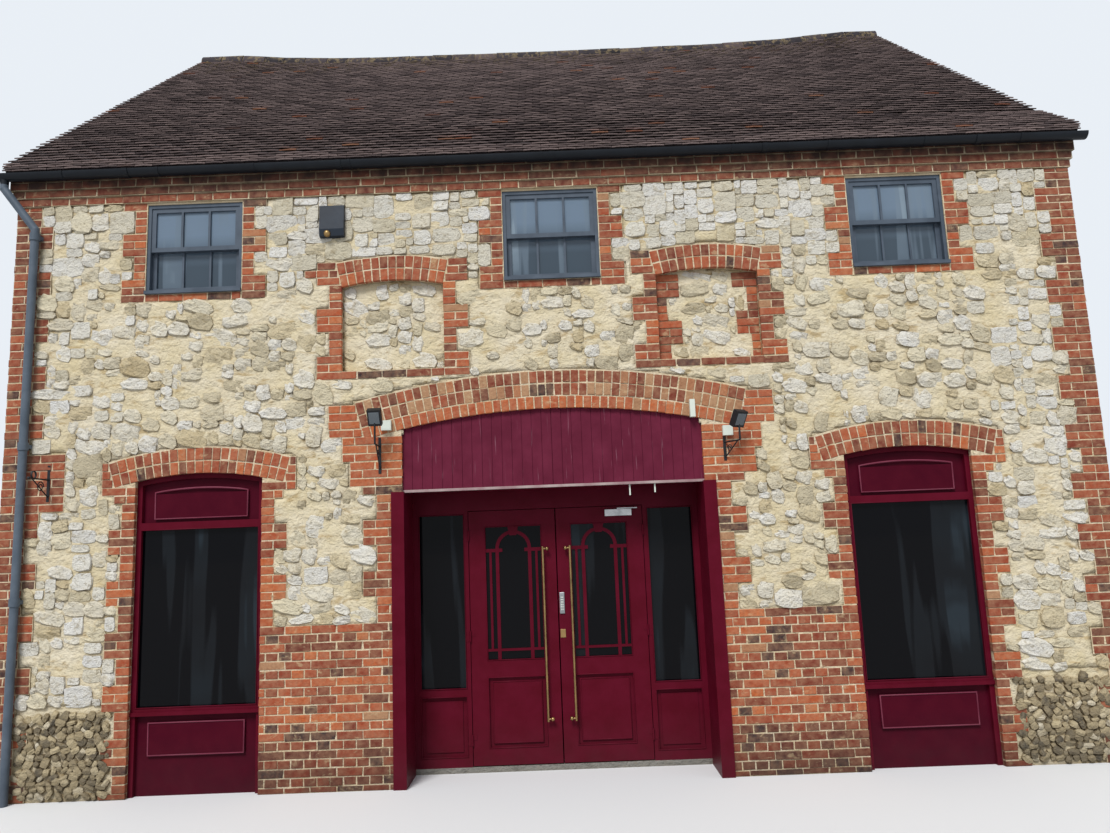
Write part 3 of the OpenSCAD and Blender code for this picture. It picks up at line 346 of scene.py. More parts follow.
def glass_with_painted_reflections(name, low, high, brown, pale, clear, level):
    """Panes with painted reflections: paler high up, with soft upright stripes of painted reflection across
    them.
    """
    coat = Coat(name, .05, Transmission_Weight=clear, IOR=1.45, Specular_IOR_Level=level)
    tree = coat.tree
    reflection_bands = cloud(tree, stretched(tree, 1.6, 1, .1), 3.1, Detail=2)
    soft = cloud(tree, place_of(tree), 1.4, Detail=3)
    # Painted reflection: paler panes high up, and soft stripes of reflection.
    coat.tone = mix(tree, span(tree, height_of(tree), 4.75, 5.05), low, high)
    coat.over(span(tree, reflection_bands, .5, .53), .6, mix(tree, soft, brown, pale))
    coat.over(span(tree, reflection_bands, .58, .6), span(tree, soft, .45, .6), pale)
    return coat.done()


STONE_MORTAR = lime_mortar("cream lime mortar", "#E0D1AC", "#EADFC6", "#B39868", 3, .65)
# The brick mortar gets strong painted shade under the eaves.
BRICK_MORTAR = lime_mortar("pale brick mortar", "#DCC7A2", "#E8D8BC", "#A58A64", 6, .3, .5, 2.9)
UNDER_TILE = lime_mortar("verge bedding", "#4A4246", "#5A5054", "#38302F", 6, .3, .3)
SOFT_MORTAR = lime_mortar("ridge bedding mortar", "#7E7264", "#92866F", "#55493F", 6, .3, .5)
CONCRETE = lime_mortar("grey concrete", "#8B8983", "#A3A19A", "#6E6C66", 3, .3, .3)
STONE = rubble_stone("ragstone", [
    (0, "#B2A486"), (.12, "#D3C7AB"), (.35, "#E6E0D2"), (.6, "#ECE9E2"), (.85, "#E2D7BA"),
    (1, "#C4B088")], "#E6D9B8")
WHITE_STONE = rubble_stone("dressed white stone", [
    (0, "#CFC4A8"), (.2, "#E4DECF"), (.5, "#F0EEEA"), (.8, "#E9E4D6"), (1, "#D5C6A2")], "#E8E0CA", 80, .6)
FLINT = rubble_stone("flint cobbles", [
    (0, "#2C2926"), (.22, "#5A5144"), (.5, "#9A8A6C"), (.8, "#C9B894"), (1, "#DED4BE")], "#C9B58E")
BRICK = fired_clay("red bricks", [
    (0, "#2E2C2E"), (.06, "#3B3637"), (.09, "#5A342C"), (.3, "#7C3A2A"), (.5, "#99472F"), (.7, "#B35633"),
    (.88, "#C86C3C"), (.93, "#A87A58"), (1, "#C09C76")], "#C49A78")
# The pale tail colour is partly wear, partly painted highlight.
TILE = roof_tile("clay tiles", [
    (0, "#161316"), (.3, "#221E21"), (.55, "#302A2D"), (.82, "#463C3D"), (.93, "#62524E"), (.96, "#A5664A"),
    (1, "#B98466")], "#9C8884", "#7C6C50")
MAROON = old_paint("maroon gloss paint", "#560A1C", "#641228", .38, .07)
# A darker copy of the maroon paint: painted shade on the shop head panels and risers.
SHADED_MAROON = old_paint("shaded maroon paint", "#44061A", "#520E20", .38, .06)
# A paler maroon for the panel beads: painted highlight along them.
HIGHLIT_MAROON = old_paint("maroon paint with painted highlight", "#7C384A", "#641E34", .4, .2)
FADED = old_paint("faded maroon paint", "#5C142C", "#74253E", .6, .15, .2, .55)
BARE_EDGE = old_paint("bare board edge", "#B7A6A2", "#7E4654", .8, .2)
ANTHRACITE = old_paint("dark grey paint", "#434D59", "#5E6976", .45, .3)
GUTTER_BLACK = old_paint("black rainwater plastic", "#10141A", "#1C2229", .4, .2)
PIPE_GREY = old_paint("slate grey pipe", "#4C5763", "#6A7581", .5, .3)
IRON = old_paint("black iron paint", "#131417", "#24262A", .5, .3)
WHITE_BOX = old_paint("white plastic", "#E2E8DC", "#CDD4C8", .5, .3)
BOX_DARK = old_paint("dark box plastic", "#18202B", "#27313D", .45, .3)
LAMP_PANE = old_paint("lamp lens", "#6E767C", "#5A6268", .2, .4)
BOARDS = old_paint("floor boards", "#7A6048", "#8F7458", .6, .2)
BRASS = metal("worn brass", "#A5865A", "#7E6A48", .38)
SILVER = metal("silver metal", "#B9B9B9", "#8E9092", .35)
# Blue-grey panes, paler higher up: painted reflection of the sky.
PAINTED_SKY_GLASS = glass_with_painted_reflections("upper window glass", "#4C5B68", "#8094A8", "#66788A", "#98AAB8", .3, .4)
# Nearly black panes: painted shade of the dim shop behind, with stripes of painted reflection.
DARK_GLASS = glass_with_painted_reflections("shop window glass", "#08080C", "#0C0E12", "#17110F", "#2C353C", .15, .06)
NODE_FINISHES = (
    (STONE_MORTAR, "front_wall_left front_wall_right front_wall_upper back_wall left_gable_wall "
                   "right_gable_wall blind_window_infill flint_panels"),
    (BRICK_MORTAR, "corner_quoins doorway_brickwork door_arch brick_panels shop_window_brickwork "
                   "upper_window_brickwork blind_window_brickwork cornice"),
    (UNDER_TILE, "roof_front_slope roof_back_slope"), (SOFT_MORTAR, "ridge_tiles"),
    (GUTTER_BLACK, "gutters gutter_brackets"), (PIPE_GREY, "downpipes"),
    (ANTHRACITE, "upper_window_frames top_sashes bottom_sashes"), (PAINTED_SKY_GLASS, "upper_window_glass"),
    (SHADED_MAROON, "shop_head_panels shop_risers"),
    (MAROON, "shop_window_frames door_pilasters door_beam door_frame sidelight_panels door_leaf_left "
             "door_leaf_right"),
    (DARK_GLASS, "shop_window_glass sidelight_glass door_glass_left door_glass_right"),
    (FADED, "boarded_head"), (BRASS, "door_handle_left door_handle_right"), (SILVER, "door_closer"),
    (IRON, "sign_bracket lamp_brackets"), (WHITE_BOX, "wall_boxes"), (BOX_DARK, "alarm_box"),
    (CONCRETE, "floor_slab"), (BOARDS, "first_floor"))


def paint_nodes():
    for finish, nodes in NODE_FINISHES:
        for node in nodes.split():
            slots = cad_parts[node].data.materials
            if not slots:
                slots.append(finish)
            for i in range(len(slots)):
                slots[i] = finish


# Pieces
def deselect():
    if bpy.context.object and bpy.context.object.mode != "OBJECT":
        bpy.ops.object.mode_set(mode="OBJECT")
    bpy.ops.object.select_all(action="DESELECT")


def linked(name, data):
    made = bpy.data.objects.new(name, data)
    bpy.context.collection.objects.link(made)
    return made


def studio():
    """The camera of the photograph, a pale floor, a soft sky and a wide sun."""
    view = linked("camera", bpy.data.cameras.new("camera"))
    view.data.lens, view.data.sensor_width, view.data.clip_end = LENS, SENSOR, 500
    view.location, view.rotation_mode = CAMERA_AT, "QUATERNION"
    aim = Euler((math.radians(PITCH), 0, math.radians(YAW)), "XYZ").to_quaternion()
    view.rotation_quaternion = aim @ Quaternion((0, 0, 1), math.radians(ROLL))
    bpy.context.scene.camera = view
    bpy.context.scene.view_settings.view_transform = "Standard"
    deselect()
    bpy.ops.mesh.primitive_plane_add(size=400)
    floor = bpy.context.object
    floor.name = "studio floor"
    coat = Coat("studio floor", .9)
    coat.tone = span(coat.tree, looked_at(coat.tree), 0, 1, FLOOR_LIT, FLOOR_SEEN)
    floor.data.materials.append(coat.done())
    world = bpy.data.worlds.new("studio")
    bpy.context.scene.world = world
    world.use_nodes = True
    tree = world.node_tree
    sky = tree.nodes["Background"].inputs
    sky["Color"].default_value = SKY
    tree.links.new(span(tree, looked_at(tree), 0, 1, SKY_LIT, SKY_SEEN), sky["Strength"])
    key = linked("key", bpy.data.lights.new("key", "SUN"))
    key.data.energy, key.data.angle = SUN_POWER, math.radians(SUN_WIDTH)
    key.rotation_euler = (math.radians(SUN_HEIGHT), 0, math.radians(SUN_SIDE))


def keep(piece, name, finish, body="building"):
    """The piece gets its name, finish and body."""
    piece.name = name
    piece.data.materials.clear()
    piece.data.materials.append(finish)
    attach(piece, body)
    return piece


def activate(piece):
    deselect()
    bpy.context.view_layer.objects.active = piece
    piece.select_set(True)


def apply_step(piece, kind, **settings):
    activate(piece)
    step = piece.modifiers.new(kind.lower(), kind)
    for key, value in settings.items():
        setattr(step, key, value)
    bpy.ops.object.modifier_apply(modifier=step.name)


def bake_turn():
    bpy.ops.object.transform_apply(location=True, rotation=True, scale=True)


def edit_all():
    bpy.ops.object.mode_set(mode="EDIT")
    bpy.ops.mesh.select_all(action="SELECT")


def edit_done():
    bpy.ops.object.mode_set(mode="OBJECT")


def lay(name, patterns, spots, finish, body="building"):
    """One joined piece: a copy of a pattern at each spot, which holds place, turn, size, pick and shade."""
    mesh = bpy.data.meshes.new(name)
    mesh.from_pydata([spot[0] for spot in spots], [], [])
    kinds = {"turn": "FLOAT_VECTOR", "size": "FLOAT_VECTOR", "pick": "INT", "shade": "FLOAT"}
    for column, (key, kind) in enumerate(kinds.items(), 1):
        values = [spot[column] for spot in spots]
        layer = mesh.attributes.new(key, kind, "POINT")
        if kind == "FLOAT_VECTOR":
            layer.data.foreach_set("vector", [c for value in values for c in value])
        else:
            layer.data.foreach_set("value", values)
    piece = linked(name, mesh)
    tree = bpy.data.node_groups.new(name + " layout", "GeometryNodeTree")
    for way in ("INPUT", "OUTPUT"):
        tree.interface.new_socket("Geometry", in_out=way, socket_type="NodeSocketGeometry")
    start, end = tree.nodes.new("NodeGroupInput"), tree.nodes.new("NodeGroupOutput")
    joined = tree.nodes.new("GeometryNodeJoinGeometry")
    for pattern in patterns:
        source = add(tree, "GeometryNodeObjectInfo", {"Object": pattern, "As Instance": True})
        tree.links.new(source.outputs["Geometry"], joined.inputs[0])

    def held(key):
        made = add(tree, "GeometryNodeInputNamedAttribute", {"Name": key}, data_type=kinds[key])
        return made.outputs["Attribute"]

    laid = add(tree, "GeometryNodeInstanceOnPoints", {
        "Points": start.outputs[0], "Instance": joined.outputs[0], "Pick Instance": True,
        "Instance Index": held("pick"), "Rotation": held("turn"), "Scale": held("size")})
    whole = add(tree, "GeometryNodeRealizeInstances", {0: laid.outputs[0]})
    tree.links.new(whole.outputs[0], end.inputs[0])
    apply_step(piece, "NODES", node_group=tree)
    for key in ("turn", "size", "pick"):
        if key in piece.data.attributes:
            piece.data.attributes.remove(piece.data.attributes[key])
    return keep(piece, name, finish, body)


def pick_parts(piece, kind, test):
    """Only the faces or edges that pass the test are selected, and edit mode is on."""
    bpy.ops.object.mode_set(mode="EDIT")
    bpy.ops.mesh.select_mode(type=kind)
    bpy.ops.mesh.select_all(action="DESELECT")
    bpy.ops.object.mode_set(mode="OBJECT")
    for part in piece.data.polygons if kind == "FACE" else piece.data.edges:
        part.select = test(part)
    bpy.ops.object.mode_set(mode="EDIT")


def block(name):
    deselect()
    bpy.ops.mesh.primitive_cube_add(size=1)
    bpy.context.object.name = name
    return bpy.context.object


def brick_pattern(seed):
    """A brick of unit size with its front edges rubbed off, a little out of true."""
    brick = block("brick pattern %d" % seed)
    pick_parts(brick, "FACE", lambda face: face.normal.y < -.5)
    bpy.ops.mesh.bevel(offset=.045 + .01 * (seed % 3), segments=1, affect="EDGES")
    bpy.ops.mesh.select_all(action="SELECT")
    bpy.ops.transform.vertex_random(offset=.022, uniform=1, normal=0, seed=seed)
    edit_done()
    return brick


def stone_pattern(seed, rough, cuts, soft, flat=None):
    """A stone of unit size: a cube rounded off and knocked about, and hewn flat if dressed."""
    stone = block("stone pattern %d" % seed)
    edit_all()
    bpy.ops.transform.resize(value=(.88, .88, .88))
    bpy.ops.mesh.subdivide(number_cuts=cuts, smoothness=soft)
    bpy.ops.transform.vertex_random(offset=rough, uniform=1, normal=0, seed=seed)
    if flat:
        face = (.15 * math.sin(seed), -1, .12 * math.cos(seed))
        bpy.ops.mesh.bisect(plane_co=(0, -flat, 0), plane_no=face, clear_outer=True, use_fill=True)
    edit_done()
    return stone


def board_pattern():
    """A board of unit size with its two long front edges taken off."""
    board = block("board pattern")

    def long_and_in_front(edge):
        a, b = (board.data.vertices[v].co for v in edge.vertices)
        return a.y < 0 and b.y < 0 and abs(a.z - b.z) > .5

    pick_parts(board, "EDGE", long_and_in_front)
    bpy.ops.mesh.bevel(offset=.06, segments=1, affect="EDGES")
    edit_done()
    return board


def tile_pattern():
    """A plain tile of unit size, raised along its middle, with its tail marked for the pale tail colour,
    which is wear and painted highlight.
    """
    made = block("tile pattern")
    edit_all()
    bpy.ops.mesh.bisect(plane_co=(0, 0, 0), plane_no=(1, 0, 0))
    edit_done()
    worn = made.data.attributes.new("edge", "FLOAT", "POINT")
    for point in made.data.vertices:
        worn.data[point.index].value = 1 if point.co.y < -.4 else 0
        if abs(point.co.x) < .01:
            point.co.z += .3
    return made


def half_round_pattern(name, up):
    """Half a round bar of unit length along X, its round side up, or down where up is -1."""
    deselect()
    bpy.ops.mesh.primitive_cylinder_add(vertices=20, radius=1, depth=1, rotation=(0, math.pi / 2, 0))
    bar = bpy.context.object
    bar.name = name
    bake_turn()
    edit_all()
    bpy.ops.mesh.bisect(plane_co=(0, 0, 0), plane_no=(0, 0, -up), clear_outer=True, use_fill=True)
    edit_done()
    pick_parts(bar, "FACE", lambda face: abs(face.normal.x) > .9)
    bpy.ops.mesh.inset(thickness=.12)
    edit_done()
    return bar


def rods(name, runs, radius, finish, body="building", closed=True):
    """Round mouldings or rods along runs of points, as one piece."""
    line = bpy.data.curves.new(name, "CURVE")
    line.dimensions, line.bevel_depth, line.bevel_resolution, line.use_fill_caps = "3D", radius, 1, True
    for run in runs:
        spline = line.splines.new("POLY")
        spline.points.add(len(run) - 1)
        for point, place in zip(spline.points, run):
            point.co = (*place, 1)
        spline.use_cyclic_u = closed
    activate(linked(name, line))
    bpy.ops.object.convert(target="MESH")
    return keep(bpy.context.object, name, finish, body)


def frame_run(a, b, heights, y):
    """The corners of an upright frame between two places along the wall."""
    (u0, u1), (z0, z1) = sorted((a, b)), heights
    return [(u0, y, z0), (u1, y, z0), (u1, y, z1), (u0, y, z1)]


def plate(name, low, high, edge, finish, body="building", turn=(0, 0, 0)):
    """A cover or box with rubbed edges between two corners, turned about its middle."""
    piece = block(name)
    piece.scale = [b - a for a, b in zip(low, high)]
    piece.rotation_euler = turn
    piece.location = [(a + b) / 2 for a, b in zip(low, high)]
    bake_turn()
    apply_step(piece, "BEVEL", width=edge, segments=2)
    return keep(piece, name, finish, body)


# Laying of bricks and stones
class Arch:
    """A segmental arch between two sloping seats."""

    def __init__(self, half, spring, rise, seat):
        self.top = spring + rise
        self.radius = (half ** 2 + rise ** 2) / (2 * rise)
        self.mid = self.top - self.radius
        self.lean = math.asin(seat / self.radius)
        self.seat_foot = self.mid + self.radius * math.cos(self.lean)

    def seat_at(self, z):
        """How far from the middle the seat lies at a height."""
        return (z - self.mid) * math.tan(self.lean)

    def crown_at(self, u, inside=0):
        """The height of the arch at a place, or of a line that runs inside it."""
        return self.mid + math.sqrt((self.radius - inside) ** 2 - u * u)


DOOR_ARCH = Arch(DOOR_HALF, DOOR_SPRING, DOOR_RISE, DOOR_SEAT)
SHOP_ARCH = Arch(SHOP_HALF, SHOP_SPRING, SHOP_RISE, SHOP_SEAT)
BLIND_ARCH = Arch(BLIND_HALF, BLIND_SPRING, BLIND_RISE, BLIND_HALF)


def about(value, spread):
    """A value a little off, either way."""
    return value + chance.uniform(-spread, spread)


def on_face(face, u, depth, z, tilt=0, lean=0):
    """Place and turn on a wall face: u along it, depth behind it, tilt in its plane."""
    angle, x, y = FACES[face]
    cos, sin = math.cos(angle), math.sin(angle)
    return (x + u * cos - depth * sin, y + u * sin + depth * cos, z), (lean, tilt, angle)


class Wall:
    """One face of the building: its bricks, its stones and the places that neither may take."""

    def __init__(self, face, set_back=0):
        self.face, self.set_back = face, set_back
        self.bricks, self.rough, self.white, self.taken = [], [], [], []

    def block(self, u0, u1, z0, z1):
        self.taken.append((u0, u1, z0, z1))

    def brick(self, u, z, w, h, tilt=0, proud=PROUD, shade=None):
        depth = self.set_back + BRICK_DEEP / 2 - proud
        place, turn = on_face(self.face, about(u, .0015), depth + chance.uniform(-.004, .002), about(z, .002),
                              about(tilt, .012), about(0, .04))
        size = (w - JOINT * chance.uniform(.8, 1.4), BRICK_DEEP, h - JOINT * chance.uniform(.9, 1.3))
        pick = chance.randrange(len(bricks))
        self.bricks.append((place, turn, size, pick, red() if shade is None else shade))
        if not tilt:    # an arch bars its own place
            self.block(u - w / 2, u + w / 2, z - h / 2, z + h / 2)

    def course(self, u0, u1, z, length, shift=0, h=COURSE, proud=PROUD, shade=None):
        """Bricks of one length from u0 to u1, the first one short by shift."""
        ends, u = [u0], u0 + length - shift
        while u < u1 - .045:
            if u - ends[-1] > .03:
                ends.append(u)
            u += length
        ends.append(u1)
        for a, b in zip(ends, ends[1:]):
            self.brick((a + b) / 2, z + h / 2, b - a, h, 0, proud, shade() if shade else None)

    def side_course(self, u, side, near, far, z, length, shift=0, h=COURSE, proud=PROUD, shade=None):
        """A course on one side of u."""
        u0, u1 = sorted((u + side * near, u + side * far))
        self.course(u0, u1, z, length, shift, h, proud, shade)

    def arch(self, mid_u, arch, rings, shade):
        """Rings of bricks on edge."""
        r, mid, lean = arch.radius, arch.mid, arch.lean
        for ring in range(rings):
            inner = r + ring * RING - REVEAL
            middle = inner + RING / 2
            count = round(2 * lean * inner / COURSE)
            for i in range(count):
                a = lean * (2 * (i + .5) / count - 1)
                u, z = mid_u + middle * math.sin(a), mid + middle * math.cos(a)
                self.brick(u, z, 2 * lean * middle / count, RING, a or 1e-4, shade=shade(ring, a * middle))
        far, parts = r + rings * RING, 20
        for i in range(-parts, parts):
            corners = [(rr, lean * (i + k) / parts) for rr in (r, far) for k in (0, 1)]
            z = [mid + rr * math.cos(a) for rr, a in corners]
            u = [mid_u + rr * math.sin(a) for rr, a in corners]
            self.block(min(u), max(u), min(z), max(z))

    def rubble(self, half, top, low, bare, big=1.):
        """Stones from the ground up: each lies in the lowest free place of the work so far."""
        count, left = int(2 * half / STEP), -half
        middles = [left + (c + .5) * STEP for c in range(count)]
        cap = [top(u) for u in middles]
        barred = [sorted((z0, z1) for u0, u1, z0, z1 in self.taken if u0 - GAP < u < u1 + GAP)
                  for u in middles]

        def free(c, z):
            for z0, z1 in barred[c]:
                if z0 - THIN < z < z1:
                    z = z1
            return z if z < cap[c] - THIN else FULL

        sky = [free(c, low) for c in range(count)]
        while min(sky) < FULL:
            z = min(sky)
            a = b = sky.index(z)
            while a > 0 and abs(sky[a - 1] - z) < LEVEL:
                a -= 1
            while b < count - 1 and abs(sky[b + 1] - z) < LEVEL:
                b += 1
            h = chance.choice(STONE_HEIGHTS) * chance.uniform(.85, 1.15) * big
            want, run = max(3, round(h * chance.uniform(.9, 2.1) / STEP)), b - a + 1
            if run - want < 4:
                want = run if run < 16 * big else run // 2
            if chance.random() < .5:
                b = a + want - 1
            else:
                a = b - want + 1
            base = max(sky[a:b + 1])
            above = [z0 for c in range(a, b + 1) for z0, z1 in barred[c] if z0 > base - .01]
            room = min(cap[a:b + 1] + above)
            width = (b - a + 1) * STEP
            h = min(h, width * 1.5)
            if room - base < h + .06:
                h = room - base
            if h > .03 and width > .05:
                self.stone(left + (a + b + 1) / 2 * STEP, base + h / 2, width, h, bare, big)
            for c in range(a, b + 1):
                sky[c] = free(c, base + max(h, .03))

    def stone(self, u, z, w, h, bare, big):
        """A rough or a dressed stone, or none where the mortar covers it, and two in a wide place."""
        if w > .34 * big:
            for side in (-1, 1):
                self.stone(u + side * w / 4, z, w / 2, h, bare, big)
            return
        share = bare(u, z)
        dressed = chance.random() < share * 1.5 - .3
        missing = chance.random() < .36 * (1 - share)
        cover = .84 + .12 * share + chance.uniform(-.16, .08)
        shade, tilt = chance.random(), about(0, .25) * (1.2 - share)
        if dressed:
            proud, sunk, wide, tall, tilt = chance.uniform(.002, .009), .3, 1.04, 1.04, tilt * .3
        else:
            proud, sunk, wide, tall = chance.uniform(-.004, .011), .46, 1.12, 1.1
        size = (w * cover * wide, STONE_DEEP, h * cover * tall)
        foot = .74 * size[2] + .62 * size[0] * abs(math.sin(tilt))
        depth = self.set_back + sunk * STONE_DEEP - proud
        place, (lean, tilt, angle) = on_face(self.face, u, depth, max(z, foot), tilt, about(0, .12))
        turn = (lean, tilt, about(angle, .08))
        if not missing:
            (self.white if dressed else self.rough).append((place, turn, size, chance.randrange(3), shade))

    def mortar(self, name, half, low, top, limit, cell, lump):
        """The lumpy face of the mortar between the stones, cut out where bricks and openings are."""
        columns, rows = round(2 * half / cell), round((top - low) / cell)
        across, up = 2 * half / columns, (top - low) / rows

        def cells(first, last, size, count):
            return range(max(0, math.ceil(first / size - .5)), min(count, math.ceil(last / size - .5)))

        shut = {(i, j) for u0, u1, z0, z1 in self.taken for i in cells(u0 + half, u1 + half, across, columns)
                for j in cells(z0 - low, z1 - low, up, rows)}
        angle, x, y = FACES[self.face]
        deselect()
        bpy.ops.mesh.primitive_grid_add(x_subdivisions=columns, y_subdivisions=rows, size=1)
        skin = bpy.context.object
        skin.scale = (2 * half, top - low, 1)
        skin.rotation_euler = (math.pi / 2, 0, angle)
        skin.location, _ = on_face(self.face, 0, self.set_back + .002, (top + low) / 2)
        bake_turn()

        def unwanted(face):
            u = (face.center.x - x) * math.cos(angle) + (face.center.y - y) * math.sin(angle)
            z = face.center.z
            return (int((u + half) / across), int((z - low) / up)) in shut or z > limit(u) - up

        pick_parts(skin, "FACE", unwanted)
        bpy.ops.mesh.delete(type="FACE")
        edit_done()
        apply_step(skin, "SOLIDIFY", thickness=.03, offset=-1)
        for size, strength in ((.09, lump), (.03, lump / 2)):
            lumps = bpy.data.textures.new("mortar lumps", "CLOUDS")
            lumps.noise_scale, lumps.noise_depth = size, 1
            apply_step(skin, "DISPLACE", texture=lumps, texture_coords="LOCAL", strength=strength,
                       direction="Y" if self.face in ("front", "back") else "X")
        bpy.ops.object.shade_smooth()
        keep(skin, name, STONE_MORTAR)


# Shades of bricks, from 0 for the darkest. An arch tells its ring and how far along it the brick lies.
def red(ring=0, along=0):
    if chance.random() > .09:
        return chance.betavariate(2.4, 2.2) * .9 + .06
    return chance.choice((0, .02, .04, .07, .95))


def corner_red():
    return red() * .7


def orange():
    return chance.uniform(.6, .9)


def dark():
    return chance.uniform(0, .5)


def darker():
    return chance.uniform(0, .35)


# Darker bricks for the cornice: painted shade under the gutter and eaves.
def shaded_under_eaves():
    return chance.uniform(.07, .46)


def doorway_ring(ring, along):
    """An orange ring inside, then two mixed ones, with a blue brick near the crown of the first."""
    if ring == 0:
        return chance.uniform(.62, .9) if chance.random() < .92 else .95
    if ring == 1 and -.19 < along < .06:
        return .02
    if chance.random() < (.45 if ring == 1 else .22):
        return chance.uniform(.91, .98)
    return chance.choice((chance.uniform(.25, .6), chance.uniform(.12, .4), .3))


# Brickwork
def courses(z):
    """The foot and height of each brick course from z up to the top of the wall."""
    while z < WALL_TOP - .02:
        yield z, min(COURSE, WALL_TOP - z)
        z += COURSE


def toothed(k, first, second):
    """Three courses of one run and three of the other, in turn."""
    return second if k // 3 % 2 else first


def bond(k, run):
    return HEADER if k % 2 or run < .2 else STRETCHER


def dress(wall, length, first, second):
    """Corner bricks at both ends of a face, with the wider patch on the front's left end."""
    for side in (-1, 1):
        for k, (z, h) in enumerate(courses(0)):
            run, edge = toothed(k, first, second), length + .003
            if wall.face == "front" and side < 0 and 11 * BLOCK - .01 < z < 13 * BLOCK + COURSE - .01:
                run = PATCH_W
            wall.side_course(0, side, edge - run, edge, z, HEADER if k % 2 and run < .3 else STRETCHER,
                             HEADER if k % 2 and run > .3 else 0, h, shade=corner_red)


def sash_window(wall, u):
    for side in (-1, 1):
        for k, (z, h) in enumerate(courses(SASH_FOOT - COURSE)):
            run = toothed(k, JAMB_LONG, JAMB_SHORT)
            wall.side_course(u, side, SASH_HALF + .003, SASH_HALF + run, z, bond(k, run), 0, h)
    wall.course(u - SASH_HALF, u + SASH_HALF, SASH_FOOT - COURSE, STRETCHER, .1)
    wall.block(u - SASH_HALF, u + SASH_HALF, SASH_FOOT, WALL_TOP)


def shop_window(wall, side):
    """The arch, the toothed jambs, and below them the brick panel towards the doorway."""
    u, reach = side * SHOP_X, SHOP_HALF - REVEAL
    wall.arch(u, SHOP_ARCH, 2, red)
    for s in (-1, 1):
        for k in range(20):
            z = PANEL_TOP + k * COURSE
            run = toothed(k, JAMB_SHORT, JAMB_LONG) if k < 15 else SHOP_SEAT - SHOP_HALF
            if k > 15:
                run += JAMB_SHORT
            start = reach if k < 17 else max(SHOP_HALF, SHOP_ARCH.seat_at(z + COURSE / 2) + .004)
            wall.side_course(u, s, start, SHOP_HALF + run, z, bond(k, run))
    for k in range(19):
        z = PANEL_TOP - (k + 1) * COURSE
        run, foot, h = toothed(k, JAMB_LONG, JAMB_SHORT), max(z, 0), COURSE + min(z, 0)
        wall.side_course(u, side, reach, SHOP_HALF + run, foot, bond(k, run), 0, h)
        wall.side_course(0, side, DOOR_HALF - REVEAL, SHOP_X - reach, foot, HEADER if k % 2 else STRETCHER,
                         CLOSER if k % 2 else 0, h, shade=dark if z < .35 else None)
    wall.block(u - SHOP_HALF, u + SHOP_HALF, -1, SHOP_ARCH.top)


def doorway(wall):
    runs = [toothed(k, DOOR_SHORT, DOOR_LONG) for k in range(15)] + [DOOR_LONG]
    for repeats, more in ((3, 1), (3, 1.6), (4, 2.7)):
        runs += [DOOR_LONG + more * JAMB_SHORT] * repeats
    for side in (-1, 1):
        for k, run in enumerate(runs):
            z = PANEL_TOP + k * COURSE
            middle = z + COURSE / 2
            start = DOOR_ARCH.seat_at(middle) + .004 if middle > DOOR_ARCH.seat_foot else DOOR_HALF - REVEAL
            wall.side_course(0, side, start, DOOR_HALF + run, z, HEADER if k % 2 and run < .3 else STRETCHER,
                             HEADER if k % 2 else 0, shade=orange if k > 15 else None)
    wall.arch(0, DOOR_ARCH, 3, doorway_ring)
    wall.block(-DOOR_HALF, DOOR_HALF, -1, DOOR_ARCH.top)


def blind_window(wall, u):
    wall.arch(u, BLIND_ARCH, 2, red)
    for side in (-1, 1):
        for k in range(15):
            z = BLIND_FOOT + k * COURSE
            middle = z + COURSE / 2
            run = JAMB_LONG if k > 11 else toothed(k, JAMB_LONG, JAMB_SHORT)
            if k == 13 and u < 0 and side < 0:
                run += JAMB_SHORT
            start = BLIND_ARCH.seat_at(middle) + .003 if middle > BLIND_SPRING else BLIND_HALF - REVEAL
            wall.side_course(u, side, start, BLIND_HALF + run, z, bond(k, run))
    wall.course(u - BLIND_HALF, u + BLIND_HALF, BLIND_FOOT, STRETCHER, .08,
                shade=darker if u > 0 else None)
    wall.block(u - BLIND_HALF, u + BLIND_HALF, BLIND_FOOT + COURSE, BLIND_ARCH.top)


def cornice(wall):
    """Three courses that step out, and one over them, in darker bricks as painted shade under the eaves."""
    for i in range(4):
        out = min(i + 1, 3) * .018
        wall.course(-HALF_W - out, HALF_W + out, WALL_TOP + i * COURSE, STRETCHER if i % 2 else THREE_QUARTER,
                    .11 * (i % 2), proud=out + PROUD, shade=shaded_under_eaves)
    wall.block(-6, 6, WALL_TOP, 6)


def clean(u, z):
    """How bare the stones are of mortar, from 0 to 1."""
    share = .12 + .68 * max(0, min(1, (z - 4.35) / .35))
    if abs(u) > 3.85:
        share = max(share, .4)
    return max(0, min(1, share + .35 * noise.noise((u * .9, z * .9, 3))))


# Heights of the roof along its length and up its slope, as in the part's source
STATIONS = [-VERGE] + [HALF_IN * (i / 6 - 1) for i in range(13)] + [VERGE]
KNOTS = [-EAVES_OUT, -.054, KICK_RUN - EAVES_OUT, WALL_T, HALF_D / 2, HALF_D - RIDGE_HALF, HALF_D]
RUN = HALF_D + EAVES_OUT
SLOPE = (RIDGE - EAVES) / RUN
ROOF_ANGLE = math.atan(SLOPE)


def knot_height(x, d):
    """The tiles' height at x along the building and d behind the wall face, with the sag and the dip."""
    sag = RIDGE_SAG * (1 - (x / HALF_IN) ** 4) if abs(x) < HALF_IN - 1e-6 else 0
    run = d + EAVES_OUT
    dip = run / KICK_RUN if run < KICK_RUN else 1 - (run - KICK_RUN) / (RUN - KICK_RUN)
    sagged = EAVES + run * SLOPE - sag * max(0, (d - WALL_T) / (HALF_D - WALL_T))
    return sagged - KICK * max(0, x / HALF_W) ** 2 * max(0, dip)


def between(knots, value):
    for i in range(len(knots) - 2, -1, -1):
        if value >= knots[i] or i == 0:
            return i, (value - knots[i]) / (knots[i + 1] - knots[i])


